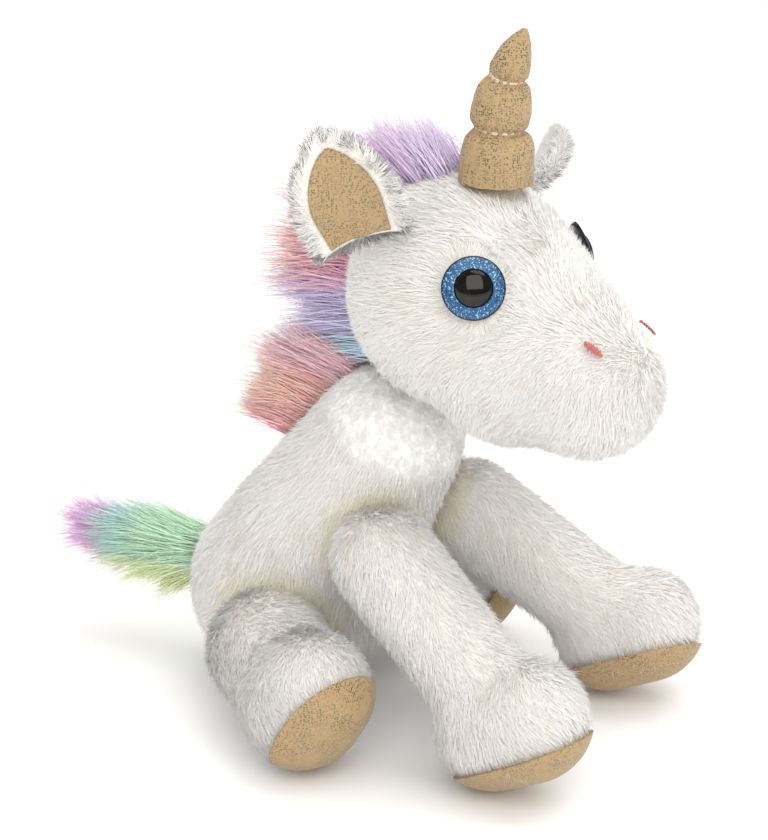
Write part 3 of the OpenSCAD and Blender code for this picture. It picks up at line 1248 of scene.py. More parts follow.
@dataclass
class Leg:
    """One leg: hinge end, shank and foot, with a gold sole."""

    front: bool
    side: Side
    hip: Vector
    foot: Vector
    toe: Vector
    toe_half: float
    hip_r: float
    foot_r: float
    sole_dir: Vector
    sole_depth: float = 15 * MM
    ankle_slim: float = 4 * MM

    @property
    def body(self) -> str:
        """Name of the leg's body."""
        return f"{'front' if self.front else 'hind'}_leg_{self.side.word}"

    def toes(self) -> Bar:
        """The foot's own bar."""
        step = self.toe.normalized() * self.toe_half
        return Bar(self.foot - step, self.foot + step, self.foot_r, self.foot_r)

    def form(self) -> list[Bar]:
        """The leg's outer form, pile included."""
        shank = Bar(self.hip, self.foot, self.hip_r, self.foot_r - self.ankle_slim)
        return [shank, self.toes()]

    def sole_height(self, points: Array) -> Array:
        """How far points lie beyond the sole's edge plane."""
        n = np.array(self.sole_dir.normalized())
        return (points - np.array(self.foot)) @ n - self.sole_depth

    def skin(self) -> bpy.types.Object:
        """The stuffed skin before pressing."""
        bars = [b.inset(PILE_DEPTH + 0.5 * MM) for b in self.form()]
        return Skin(f"{self.body}_skin", bars).build()

    def sole(self) -> bpy.types.Object:
        """The convex gold sole, cut from the foot's own form and closed behind.

        Returns:
            The sole.
        """
        bar = self.toes().inset(0.8 * MM)
        whole = Skin(f"{self.body}_sole", [bar], voxel=2.2 * MM, relax=3).build()
        bm = bmesh.new()
        bm.from_mesh(whole.data)
        n = self.sole_dir.normalized()
        cut = self.foot + n * (self.sole_depth - 1.5 * MM)
        bmesh.ops.bisect_plane(
            bm, geom=[*bm.verts, *bm.edges, *bm.faces], plane_co=cut, plane_no=n, clear_inner=True
        )
        rim = [e for e in bm.edges if e.is_boundary]
        bmesh.ops.holes_fill(bm, edges=rim, sides=0)
        bm.to_mesh(whole.data)
        bm.free()
        whole.data.polygons.foreach_set("use_smooth", [True] * len(whole.data.polygons))
        return whole


@dataclass
class Head:
    """The head: skull, cheeks and muzzle, turned a little to the right."""

    turn: float = math.radians(-7)
    skull_off: Vector = field(default_factory=lambda: Vector((0, -36, 65)) * MM)
    cheek_off: Vector = field(default_factory=lambda: Vector((0, -62, 47)) * MM)
    muzzle_off: Vector = field(default_factory=lambda: Vector((0, -94, 38)) * MM)
    skull_r: float = 48 * MM
    cheek_r: float = 41 * MM
    muzzle_r: float = 31 * MM
    eye_dir: Vector = field(default_factory=lambda: Vector((0.743, -0.618, 0.258)).normalized())
    eye_face: float = 49.6 * MM
    nostril_dir: Vector = field(default_factory=lambda: Vector((0.62, -0.42, 0.665)).normalized())
    horn_off: Vector = field(default_factory=lambda: Vector((0, -50, 108.5)) * MM)

    def turned(self) -> Matrix:
        """From the head's own frame, about the neck, to the row frame."""
        return Matrix.Translation(NECK) @ Matrix.Rotation(self.turn, 4, "Z")

    def at(self, offset: Vector) -> Vector:
        """A place on the head from its offset to the neck before the turn."""
        return self.turned() @ offset

    def aimed(self, v: Vector) -> Vector:
        """A direction on the head after the turn."""
        return self.turned().to_3x3() @ v

    def sided(self, v: Vector, side: Side) -> Vector:
        """The vector with its X on that side."""
        return Vector((abs(v.x) * side.sign, v.y, v.z))

    def eye_axis(self, side: Side) -> Vector:
        """Where an eye looks."""
        return self.aimed(self.sided(self.eye_dir, side))

    def eye_place(self, side: Side) -> Vector:
        """Middle of an eye disc's underside."""
        return self.at(self.skull_off) + self.eye_axis(side) * self.eye_face

    def nostril_place(self, side: Side) -> Vector:
        """Middle of a nostril's stitches."""
        out = self.aimed(self.sided(self.nostril_dir, side))
        return self.at(self.muzzle_off) + out * (self.muzzle_r + 1.6 * MM)

    def form(self) -> list[Bar]:
        """The head's outer form, pile included."""
        skull, cheek, muzzle = (self.at(o) for o in (self.skull_off, self.cheek_off, self.muzzle_off))
        return [Bar(skull, muzzle, self.skull_r, self.muzzle_r), ball(cheek, self.cheek_r)]

    def mould(self, points: Array) -> Array:
        """Presses the eyes and nostrils in a little.

        Args:
            points: The skin's points.

        Returns:
            The moved points.
        """
        points = points.copy()
        for side in Side:
            eye, axis = np.array(self.eye_place(side)), np.array(self.eye_axis(side))
            gap = np.linalg.norm(points - eye, axis=1)
            points -= axis * (smooth_step(gap, 20 * MM, 9 * MM) * 1.5 * MM)[:, None]
            nose = np.array(self.nostril_place(side))
            inward = unit(np.array(self.at(self.muzzle_off)) - nose)
            gap = np.linalg.norm(points - nose, axis=1)
            points += inward * (smooth_step(gap, 11 * MM, 2 * MM) * 2.0 * MM)[:, None]
        return points

    def skin(self) -> bpy.types.Object:
        """The stuffed skin before pressing."""
        bars = [b.inset(PILE_DEPTH + 0.6 * MM) for b in self.form()]
        return Skin("head_cover_skin", bars, voxel=4.2 * MM, mould=self.mould).build()

def spun(profile: Sequence[tuple[float, float]], steps: int) -> bmesh.types.BMesh:
    """A closed shape turned from a profile about Z.

    Args:
        profile: Radius and height of each point, from pole to pole.
        steps: How many steps the turn has.

    Returns:
        The turned mesh, with its poles merged.
    """
    bm = bmesh.new()
    line = [bm.verts.new((r, 0, z)) for r, z in profile]
    edges = [bm.edges.new(pair) for pair in zip(line, line[1:])]
    bmesh.ops.spin(
        bm, geom=[*line, *edges], axis=(0, 0, 1), cent=(0, 0, 0), steps=steps, angle=2 * math.pi,
        use_merge=True,
    )
    bmesh.ops.remove_doubles(bm, verts=bm.verts, dist=1e-6)
    bmesh.ops.recalc_face_normals(bm, faces=bm.faces)
    return bm


def frame_of(origin: Vector, z: Vector, near_x: Vector) -> Matrix:
    """A placing whose Z is the given direction and whose X leans towards near_x.

    Args:
        origin: Where the origin goes.
        z: Direction of Z.
        near_x: Direction that X keeps close to.

    Returns:
        The matrix.
    """
    z = z.normalized()
    x = (near_x - z * near_x.dot(z)).normalized()
    y = z.cross(x)
    turn = Matrix((x, y, z)).transposed()
    return Matrix.Translation(origin) @ turn.to_4x4()


def sampled(profile: Sequence[tuple[float, float]], step: float) -> list[tuple[float, float]]:
    """A coarse profile of height and radius drawn as a smooth curve.

    Args:
        profile: Height and radius pairs.
        step: Distance between heights of the result.

    Returns:
        Radius and height pairs.
    """
    z = np.array([p[0] for p in profile])
    r = np.array([p[1] for p in profile])
    fine = np.arange(z[0], z[-1] + step / 2, step)
    drawn = np.interp(fine, z, r)
    for _ in range(3):
        drawn[1:-1] = (drawn[:-2] + 2 * drawn[1:-1] + drawn[2:]) / 4
    return list(zip(drawn, fine))


@dataclass
class Horn:
    """Three stuffed bulges of gold foil fabric, drawn in by two ties of thread."""

    head: Head
    low_tie: float = 20.0 * MM
    high_tie: float = 39.5 * MM
    top: float = 60.0 * MM
    low_waist: float = 8.0 * MM
    high_waist: float = 5.6 * MM
    pleats: int = 17
    leans: tuple[float, float, float] = (2.0, 9.0, 24.0)

    def centre(self, z: Array) -> tuple[Array, Array, Array]:
        """The bent centre line.

        Args:
            z: Lengths along it.

        Returns:
            Y and Z of the line and its lean, in the head's frame from the horn's foot.
        """
        fine = np.linspace(0, self.top * 1.05, 400)
        low, mid, high = (math.radians(a) for a in self.leans)
        lean = low + (mid - low) * smooth_step(fine, self.low_tie - 3 * MM, self.low_tie + 3 * MM)
        lean += (high - mid) * smooth_step(fine, self.high_tie - 3 * MM, self.high_tie + 4 * MM)
        step = fine[1] - fine[0]
        y = np.concatenate([[0], np.cumsum(-np.sin(lean[:-1]) * step)])
        up = np.concatenate([[0], np.cumsum(np.cos(lean[:-1]) * step)])
        return np.interp(z, fine, y), np.interp(z, fine, up), np.interp(z, fine, lean)

    def bent(self, points: Array) -> Array:
        """Bends points of a straight horn along the centre line and sets them on the head."""
        y, up, lean = self.centre(points[:, 2])
        out = np.stack(
            [points[:, 0], y + points[:, 1] * np.cos(lean), up + points[:, 1] * np.sin(lean)], axis=1
        )
        place = np.array(self.head.turned() @ Matrix.Translation(self.head.horn_off))
        return out @ place[:3, :3].T + place[:3, 3]

    def cover(self) -> bpy.types.Object:
        """The gathered foil cover.

        Returns:
            The piece.
        """
        profile = [
            (-1.0, 13.8), (3, 14.1), (8, 14.0), (13, 13.5), (16.6, 12.4), (18.9, 10.1), (20, 8.0),
            (21.1, 9.4), (23, 10.7), (27.5, 11.2), (32, 10.7), (36, 9.3), (38.5, 7.2), (39.5, 5.6),
            (40.5, 6.3), (43, 7.2), (47, 6.9), (51, 5.8), (55, 4.0), (58, 2.2), (59.6, 1.0),
        ]
        body = sampled([(z * MM, r * MM) for z, r in profile], 0.5 * MM)
        line = [(0.0, body[0][1]), *body, (0.0, body[-1][1] + 0.5 * MM)]
        made = finish_mesh("horn_foil", spun(line, 120))
        p = coordinates(made.data)
        angle = np.arctan2(p[:, 1], p[:, 0])
        z = p[:, 2]
        radial = np.ones(len(p))
        for tie, reach, depth in ((self.low_tie, 5.5, 0.085), (self.high_tie, 5.0, 0.12)):
            near = np.exp(-((z - tie) / (reach * MM)) ** 2)
            fold = np.sin(angle * self.pleats + 1.3 * np.sin(angle * 2 + tie * 400))
            fold += 0.5 * np.sin(angle * (self.pleats - 6) + 2.0)
            radial += near * depth * fold * 0.6
        seat = np.exp(-((z - 0.5 * MM) / (3.5 * MM)) ** 2)
        radial += seat * 0.03 * np.sin(angle * 14 + np.sin(angle * 3))
        radial += 0.012 * np.sin(angle * 3 + z * 260) + 0.008 * np.sin(angle * 5 - z * 410)
        p[:, :2] *= radial[:, None]
        set_coordinates(made.data, self.bent(p))
        return made

    def tie(self, name: str, at: float, waist: float, wraps: int) -> bpy.types.Object:
        """Twisted thread wrapped round a waist.

        Args:
            name: The piece's name.
            at: Its height on the horn.
            waist: The waist's radius.
            wraps: How many turns lie side by side.

        Returns:
            The piece.
        """
        thick, around, lobes = 0.42 * MM, 10, 2
        bm = bmesh.new()
        for wrap in range(wraps):
            lift = (wrap - (wraps - 1) / 2) * thick * 1.7
            place = Matrix.Translation((waist + thick * 0.9, 0, at + lift)) @ Matrix.Rotation(
                math.pi / 2, 4, "X"
            )
            ring = bmesh.ops.create_circle(bm, segments=around, radius=thick, matrix=place)
            edges = list({e for v in ring["verts"] for e in v.link_edges})
            bmesh.ops.spin(
                bm, geom=[*ring["verts"], *edges], axis=(0, 0, 1), cent=(0, 0, 0), steps=160,
                angle=2 * math.pi, use_merge=True,
            )
        made = finish_mesh(name, bm)
        p = coordinates(made.data)
        angle = np.arctan2(p[:, 1], p[:, 0])
        far = np.hypot(p[:, 0], p[:, 1])
        for wrap in range(wraps):
            lift = at + (wrap - (wraps - 1) / 2) * thick * 1.7
            mine = np.abs(p[:, 2] - lift) <= thick * 0.86 if wraps > 1 else np.ones(len(p), bool)
            a, b = far[mine] - waist - thick * 0.9, p[mine, 2] - lift
            round_it = np.arctan2(b, a)
            swell = 1 + 0.22 * np.cos(lobes * round_it - 40 * angle[mine] + wrap)
            far[mine] = waist + thick * 0.9 + a * swell
            p[mine, 2] = lift + b * swell
        p[:, 0], p[:, 1] = far * np.cos(angle), far * np.sin(angle)
        p[:, 2] += 0.35 * MM * np.sin(angle * 2 + at * 900)
        set_coordinates(made.data, self.bent(p))
        return made


@dataclass
class Ear:
    """An ear: a cupped plush back and a foil lining with folds."""

    head: Head
    side: Side
    root: Vector
    axis: Vector
    facing: Vector
    length: float = 45 * MM
    width: float = 36 * MM
    widest: float = 0.42
    cup: float = 9 * MM
    back_t: float = 3.0 * MM

    def placing(self) -> Matrix:
        """From the ear's own frame (Z up the ear, -Y the way the lining faces) to the row frame."""
        z = self.axis.normalized()
        front = (self.facing - z * self.facing.dot(z)).normalized()
        y = -front
        turn = Matrix((y.cross(z), y, z)).transposed()
        return self.head.turned() @ Matrix.Translation(self.root) @ turn.to_4x4()

    def half_width(self, v: Array, inset: float) -> Array:
        """Half the ear's width at a share of its length."""
        low = 0.9 + 0.1 * smooth_step(v, 0.0, self.widest)
        high = np.clip(1 - (np.maximum(v - self.widest, 0) / (1 - self.widest)) ** 2.0, 0, 1) ** 0.72
        return (self.width / 2 - inset) * low * high

    def surface(self, u: Array, v: Array, inset: float, fold: float) -> Array:
        """Points of the cupped leaf in the ear's own frame.

        Args:
            u: Across, from -1 to 1.
            v: Up, from 0 to 1.
            inset: How far its outline is moved in.
            fold: Height of the fold ridges.

        Returns:
            The points.
        """
        x = u * self.half_width(v, inset)
        z = inset * 0.5 + v * (self.length - inset * 1.6)
        reach = x / (self.width / 2)
        cup = self.cup * reach**2 * (1.0 - 0.45 * v)
        ridge = np.exp(-(((u - 0.12 - 0.2 * v) / 0.22) ** 2)) * (1 - v) * 0.9
        ridge += 0.7 * np.exp(-(((u + 0.5) / 0.16) ** 2)) * np.sin(np.clip(v * 3.3, 0, math.pi))
        ridge += 0.35 * np.sin(v * 9 + u * 3) * (1 - u * u) * 0.5
        bow = -3.0 * MM * np.sin(v * math.pi) * 0.6
        return np.stack([x, -cup - fold * ridge + bow, z], axis=-1)

    def leaf(self, name: str, inset: float, fold: float, forward: float, thick: float,
             across: int, up: int) -> bpy.types.Object:
        """One layer of the ear.

        Args:
            name: The piece's name.
            inset: How far its outline is moved in.
            fold: Height of the fold ridges.
            forward: How far it lies in front of the middle layer.
            thick: Its thickness.
            across: Cells across.
            up: Cells up.

        Returns:
            The piece.
        """
        bm = bmesh.new()
        bmesh.ops.create_grid(bm, x_segments=across, y_segments=up, size=1.0)
        flat = np.array([v.co for v in bm.verts])
        points = self.surface(flat[:, 0], (flat[:, 1] + 1) / 2 * 0.999, inset, fold)
        points[:, 1] -= forward
        for vert, point in zip(bm.verts, points):
            vert.co = point
        bmesh.ops.remove_doubles(bm, verts=bm.verts, dist=0.15 * MM)
        bmesh.ops.recalc_face_normals(bm, faces=bm.faces)
        up_face = sum((f.normal for f in bm.faces), Vector())
        if up_face.y > 0:
            bmesh.ops.reverse_faces(bm, faces=bm.faces)
        bmesh.ops.solidify(bm, geom=bm.faces[:], thickness=thick)
        # Solidify leaves its new points and faces in an order that changes from run to run.
        slant = Vector((1.0, 1.7320508, 2.2360679))
        bm.verts.sort(key=lambda v: v.co.dot(slant))
        bm.faces.sort(key=lambda f: f.calc_center_median().dot(slant))
        bmesh.ops.transform(bm, matrix=self.placing(), verts=bm.verts)
        return finish_mesh(name, bm)


@dataclass
class Eye:
    """A moulded eye: glossy pupil dome and shank, with a ring of glitter round the pupil."""

    head: Head
    side: Side
    disc_r: float = 11.5 * MM
    disc_t: float = 1.4 * MM
    pupil_r: float = 7.0 * MM
    pupil_h: float = 3.3 * MM
    shank_r: float = 2.4 * MM
    shank_len: float = 12 * MM
    sunk: float = 2.6 * MM

    def placing(self) -> Matrix:
        """From the eye's own frame, Z outward, to the row frame."""
        axis = self.head.eye_axis(self.side)
        return frame_of(self.head.eye_place(self.side) - axis * self.sunk, axis, Vector((0, 0, 1)))

    def moulded(self) -> bpy.types.Object:
        """The black disc with its pupil and shank.

        Returns:
            The piece.
        """
        base = self.disc_t + 0.25 * MM
        dome = [
            (self.pupil_r * math.sin(a), base + self.pupil_h * math.cos(a) ** 0.85)
            for a in np.linspace(0, math.pi / 2, 22)
        ]
        edge, t = self.disc_r, self.disc_t
        rest = [
            (self.pupil_r + 0.1 * MM, t), (edge - 1.0 * MM, t - 0.15 * MM), (edge - 0.35 * MM, t - 0.35 * MM),
            (edge, t * 0.45), (edge - 0.3 * MM, 0.1 * MM), (edge - 1 * MM, 0),
            (self.shank_r + 0.6 * MM, 0), (self.shank_r, -0.6 * MM),
        ]
        shank = [(self.shank_r, z * MM) for z in (-3, -6, -9, -11.6)]
        line = [*dome, *rest, *shank, (self.shank_r - 0.4 * MM, -self.shank_len), (0.0, -self.shank_len)]
        bm = spun(line, 72)
        bmesh.ops.transform(bm, matrix=self.placing(), verts=bm.verts)
        return finish_mesh(f"eye_{self.side.word}_moulded", bm)

    def ring(self) -> bpy.types.Object:
        """The glitter ring.

        Returns:
            The piece, with the attribute "rim".
        """
        t, inner, outer = self.disc_t + 0.05 * MM, self.pupil_r + 0.1 * MM, self.disc_r + 0.25 * MM
        top = [
            (inner + (outer - inner) * s, t + (1.15 - 1.05 * s**1.6) * MM) for s in np.linspace(0, 1, 14)
        ]
        line = [*top, (outer - 0.2 * MM, t - 0.3 * MM), (inner, t - 0.3 * MM), top[0]]
        bm = bmesh.new()
        verts = [bm.verts.new((r, 0, z)) for r, z in line[:-1]]
        edges = [bm.edges.new((a, b)) for a, b in zip(verts, [*verts[1:], verts[0]])]
        bmesh.ops.spin(
            bm, geom=[*verts, *edges], axis=(0, 0, 1), cent=(0, 0, 0), steps=96, angle=2 * math.pi,
            use_merge=True,
        )
        made = finish_mesh(f"eye_{self.side.word}_glitter", bm)
        p = coordinates(made.data)
        rim = (np.hypot(p[:, 0], p[:, 1]) - inner) / (outer - inner)
        made.data.attributes.new("rim", "FLOAT", "POINT").data.foreach_set("value", rim.astype(np.float32))
        made.data.transform(self.placing())
        return made


@dataclass
class Nostril:
    """A small patch of satin stitches."""

    head: Head
    side: Side
    stitches: int = 13
    long: float = 8.5 * MM
    tall: float = 3.4 * MM
    thread: float = 0.42 * MM

    def stitched(self) -> bpy.types.Object:
        """The patch.

        Returns:
            The piece.
        """
        middle = self.head.nostril_place(self.side)
        out = (middle - self.head.at(self.head.muzzle_off)).normalized()
        place = frame_of(middle - out * 2.5 * MM, out, Vector((0, 0, 1)))
        slant = Matrix.Rotation(math.radians(52 * self.side.sign * -1), 4, "Z")
        bm = bmesh.new()
        for number in range(self.stitches):
            s = (number + 0.5) / self.stitches * 2 - 1
            reach = self.tall * math.sqrt(max(1 - abs(s) ** 2.2, 0.08)) / 2
            wob = 0.25 * MM * math.sin(number * 2.4)
            shape = (
                Matrix.Translation((s * self.long / 2, wob, -0.35 * MM * s * s))
                @ Matrix.Rotation(math.radians(18), 4, "Z")
                @ Matrix.Diagonal((self.thread, reach, self.thread * 1.5, 1))
            )
            bmesh.ops.create_uvsphere(
                bm, u_segments=10, v_segments=12, radius=1.0,
                matrix=place @ slant @ shape,
            )
        return finish_mesh(f"nostril_{self.side.word}_stitches", bm)



class Studio:
    """Pale floor, soft lights and the camera."""

    def __init__(self) -> None:
        """Sets the stage's sizes."""
        self.target = Vector((0, -22.85, 125)) * MM
        self.azimuth = math.radians(-59)
        self.reach = 0.85
        self.rise = 0.275
        self.lens = 104.7

    def camera(self) -> None:
        """Makes the scene's camera."""
        data = bpy.data.cameras.new("view")
        data.sensor_width = 36
        data.sensor_fit = "HORIZONTAL"
        data.lens = self.lens
        data.shift_x = -0.0026
        data.shift_y = -0.0104
        data.clip_start = 0.01
        made = bpy.data.objects.new("view", data)
        bpy.context.scene.collection.objects.link(made)
        off = Vector(
            (math.sin(self.azimuth) * self.reach, -math.cos(self.azimuth) * self.reach, self.rise)
        )
        made.location = self.target + off
        made.rotation_euler = (-off).to_track_quat("-Z", "Y").to_euler()
        bpy.context.scene.camera = made

    def floor(self) -> None:
        """Makes the pale floor."""
        bm = bmesh.new()
        bmesh.ops.create_grid(bm, x_segments=8, y_segments=8, size=6.0)
        floor = finish_mesh("floor", bm, outward=False)
        made, sheet, shader = new_material("pale_floor")
        grain = sheet.noise(6, 2)
        pale = sheet.mix(grain, (0.93, 0.93, 0.935, 1), (0.95, 0.95, 0.955, 1))
        sheet.join(pale, shader.inputs["Base Color"])
        shader.inputs["Roughness"].default_value = 0.9
        shader.inputs["Specular IOR Level"].default_value = 0.1
        dress(floor, made)

    def light(self, name: str, place: Vector, size: float, power: float, shade: Shade) -> None:
        """Makes one soft square light aimed at the toy.

        Args:
            name: Its name.
            place: Where it hangs.
            size: Its side.
            power: Its power in watts.
            shade: Its colour.
        """
        data = bpy.data.lights.new(name, "AREA")
        data.shape = "SQUARE"
        data.size = size
        data.energy = power
        data.color = shade
        made = bpy.data.objects.new(name, data)
        bpy.context.scene.collection.objects.link(made)
        made.location = place
        made.rotation_euler = (Vector((0, 0, 0.1)) - place).to_track_quat("-Z", "Y").to_euler()

    def surround(self) -> None:
        """White studio all round, dimmer in reflections, and pure white behind the toy."""
        world = bpy.data.worlds.new("studio")
        bpy.context.scene.world = world
        world.use_nodes = True
        sheet = Sheet(world.node_tree)
        nodes = world.node_tree.nodes
        nodes.clear()
        out = sheet.node("ShaderNodeOutputWorld")
        seen = sheet.node("ShaderNodeBackground")
        seen.inputs[0].default_value = (1, 1, 1, 1)
        seen.inputs[1].default_value = 1.0
        glow = sheet.node("ShaderNodeBackground")
        glow.inputs[0].default_value = (1.0, 0.99, 0.975, 1)
        path = sheet.node("ShaderNodeLightPath")
        dim = sheet.node("ShaderNodeMapRange")
        sheet.join(path.outputs["Is Glossy Ray"], dim.inputs[0])
        dim.inputs[3].default_value = 0.93
        dim.inputs[4].default_value = 0.22
        sheet.join(dim.outputs[0], glow.inputs[1])
        both = sheet.node("ShaderNodeMixShader")
        sheet.join(path.outputs["Is Camera Ray"], both.inputs[0])
        sheet.join(glow.outputs[0], both.inputs[1])
        sheet.join(seen.outputs[0], both.inputs[2])
        sheet.join(both.outputs[0], out.inputs[0])

    def build(self) -> None:
        """Makes the whole stage."""
        self.camera()
        self.floor()
        self.surround()
        self.light("key", Vector((-0.85, -0.75, 0.95)), 1.1, 9.0, (1.0, 0.985, 0.965))
        sky = bpy.data.lights.new("overhead", "SUN")
        sky.energy = 1.0
        sky.angle = math.radians(50)
        made = bpy.data.objects.new("overhead", sky)
        bpy.context.scene.collection.objects.link(made)
        made.rotation_euler = (math.radians(12), math.radians(14), 0)
        settings = bpy.context.scene.view_settings
        settings.view_transform = "Standard"
        settings.look = "None"


# ---------------------------------------------------------------- builders


@dataclass
class Toy:
    """The whole toy: makes each sub-assembly and puts it on its body."""

    finishes: Finishes
    torso: Torso = field(default_factory=Torso)
    head: Head = field(default_factory=Head)

    def __post_init__(self) -> None:
        """Places the legs."""
        hip = {s: joint_place(f"front_leg_lift_{s.word}") for s in Side}
        back = {s: joint_place(f"hind_leg_spread_{s.word}") for s in Side}
        right, left = Side.RIGHT, Side.LEFT
        self.legs = [
            Leg(True, right, hip[right], on_floor(-49, -82, 30.4), Vector((-0.1, -0.9, 0.46)),
                9 * MM, 24 * MM, 26 * MM, Vector((-0.1, -0.45, -0.85))),
            Leg(True, left, hip[left], on_floor(55, -81, 30.4), Vector((0.1, -0.9, 0.4)),
                9 * MM, 24 * MM, 26 * MM, Vector((-0.3, -0.4, -0.85))),
            Leg(False, right, back[right], on_floor(-71, -4, 30.6), Vector((0, -0.53, 0.85)),
                4 * MM, 28 * MM, 27 * MM, Vector((-0.3, -0.8, -0.5))),
            Leg(False, left, back[left], on_floor(71, 4, 30.6), Vector((0, -0.53, 0.85)),
                4 * MM, 28 * MM, 27 * MM, Vector((0.3, -0.8, -0.5))),
        ]

    def pad(self, obj: bpy.types.Object, body: str, slot: str, fill: float, *nodes: str) -> None:
        """Args:
            obj: The piece.
            body: The body it rides on.
            slot: The record's material slot; not used.
            fill: How tightly it is stuffed; not used.
            *nodes: CAD nodes that it stands for.
        """
        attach(obj, body)
        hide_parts(*nodes)
        log.info("%s rides on %s", obj.name, body)

    def put(self, obj: bpy.types.Object, body: str, slot: str, *nodes: str) -> None:
        """Puts a piece that isn't stuffed on its body.

        Args:
            obj: The piece.
            body: The body it rides on.
            slot: The record's material slot; not used.
            *nodes: CAD nodes that it stands for.
        """
        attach(obj, body)
        if nodes:
            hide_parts(*nodes)
        log.info("%s rides on %s", obj.name, body)

    def stuffed_forms(self) -> None:
        """Builds and presses the torso, the head and the legs."""
        skins = [self.torso.skin(), self.head.skin(), *[leg.skin() for leg in self.legs]]
        Stuffing().press(skins)
        set_coordinates(skins[0].data, self.torso.mould(coordinates(skins[0].data)))
        for skin in skins:
            points = coordinates(skin.data)
            points[:, 2] = np.maximum(points[:, 2], 0.6 * MM)
            set_coordinates(skin.data, points)
            soft = skin.modifiers.new("soft", "SUBSURF")
            soft.levels = soft.render_levels = 1
            dress(skin, self.finishes.backing)
        self.torso_skin, self.head_skin = skins[0], skins[1]
        self.leg_skins = skins[2:]
        self.pad(skins[0], "torso", "white_pile", 0.8, "torso_cover", "torso_filling")
        self.pad(skins[1], "head", "white_pile", 0.85, "head_cover", "head_filling")
        for leg, skin in zip(self.legs, self.leg_skins):
            nodes = [leg.body.replace("_leg_", f"_leg_{k}_") for k in ("cover", "filling")]
            self.pad(skin, leg.body, "white_pile", 0.75, *nodes)

    def coat(self, name: str, skin: bpy.types.Object, body: str, count: int, groom: Groom,
             coat: Coat) -> bpy.types.Object:
        """Grows pile on a skin and puts it on the skin's body.

        Args:
            name: The piece's name.
            skin: The skin.
            body: The body it rides on.
            count: About how many hairs.
            groom: How the pile lies.
            coat: The pile.

        Returns:
            The pile.
        """
        made = coat.grow(name, skin, count, groom)
        dress(made, self.finishes.pile)
        self.put(made, body, "white_pile")
        return made

    def coats(self) -> None:
        """Grows the white pile of the torso, the head and the legs."""
        torso_hairs, leg_hairs, head_hairs = 44000, 33000, 48000
        leg_forms = [b for leg in self.legs for b in leg.form()]
        head_form, torso_form = self.head.form(), self.torso.form()

        def torso_flow(p: Array, n: Array) -> Array:
            """Which way the torso's pile lies: down and a little back."""
            return np.tile(np.array([0.0, 0.35, -1.0]), (len(p), 1))

        def torso_keep(p: Array) -> Array:
            """Where the torso's pile grows: not where a leg or the head covers it."""
            hidden = (outside(leg_forms, p) < -8 * MM) | (outside(head_form, p) < -10 * MM)
            return ~hidden & (p[:, 2] > 1.0 * MM)

        def torso_warmth(p: Array) -> Array:
            """How much warm shade is painted on the torso's pile, most in the creases by legs and head."""
            gap = outside([*leg_forms, *head_form], p)
            return smooth_step(gap, 9 * MM, -2 * MM) * 0.8

        self.coat("torso_pile_lower", self.torso_skin, "torso", torso_hairs, Groom(
            torso_flow, lambda p: torso_keep(p) & (p[:, 2] < 62 * MM), warmth=torso_warmth), Coat(seed=11))
        self.coat("torso_pile_upper", self.torso_skin, "torso", torso_hairs, Groom(
            torso_flow, lambda p: torso_keep(p) & (p[:, 2] >= 62 * MM), warmth=torso_warmth), Coat(seed=12))

        for number, (leg, skin) in enumerate(zip(self.legs, self.leg_skins)):
            axis = np.array((leg.foot - leg.hip).normalized())

            def leg_keep(p: Array, leg: Leg = leg) -> Array:
                """Where a leg's pile grows: not inside the torso and not on the sole."""
                buried = outside(torso_form, p) < -9 * MM
                return ~buried & (leg.sole_height(p) < 0.2 * MM) & (p[:, 2] > 0.8 * MM)

            def leg_warmth(p: Array, leg: Leg = leg) -> Array:
                """How much warm shade is painted on a leg's pile, most in the crease by the torso."""
                return smooth_step(outside(torso_form, p), 9 * MM, -2 * MM) * 0.8

            def leg_flow(p: Array, n: Array, axis: Array = axis) -> Array:
                """Which way a leg's pile lies: towards the foot and down."""
                return np.tile(axis, (len(p), 1)) + np.array([0, 0, -0.35])

            def leg_scale(p: Array, leg: Leg = leg) -> Array:
                """How long a leg's pile is: shorter by the floor."""
                low = smooth_step(p[:, 2], 0.0, 9 * MM) * 0.45 + 0.55
                return low * (1 + 0.1 * smooth_step(leg.sole_height(p), -7 * MM, 0))

            self.coat(f"{leg.body}_pile", skin, leg.body, leg_hairs,
                      Groom(leg_flow, leg_keep, leg_scale, leg_warmth), Coat(seed=21 + number))

        skull = np.array(self.head.at(self.head.skull_off))
        muzzle = np.array(self.head.at(self.head.muzzle_off))
        eyes = [(np.array(self.head.eye_place(s)), np.array(self.head.eye_axis(s))) for s in Side]
        noses = [np.array(self.head.nostril_place(s)) for s in Side]
        horn = np.array(self.head.at(self.head.horn_off))

        def head_flow(p: Array, n: Array) -> Array:
            """Which way the head's pile lies: back from the muzzle, down low, and out from the eyes.

            Args:
                p: Places.
                n: Normals there; not used.

            Returns:
                Directions.
            """
            back = unit(skull - muzzle) * np.array([1, 1, 0.2])
            low = smooth_step(p[:, 2], 0.20, 0.14)[:, None]
            flow = back[None] * (1 - 0.5 * low) + np.array([0, 0, -0.9]) * (0.35 + 0.65 * low)
            for place, axis in eyes:
                rel = p - place
                rel -= axis * (rel @ axis)[:, None]
                near = smooth_step(np.linalg.norm(p - place, axis=1), 22 * MM, 11 * MM)[:, None]
                flow = flow * (1 - near) + unit(rel) * near
            return flow

        def eye_gap(p: Array) -> Array:
            """Distance to the nearer eye."""
            return np.min([np.linalg.norm(p - place, axis=1) for place, _ in eyes], axis=0)

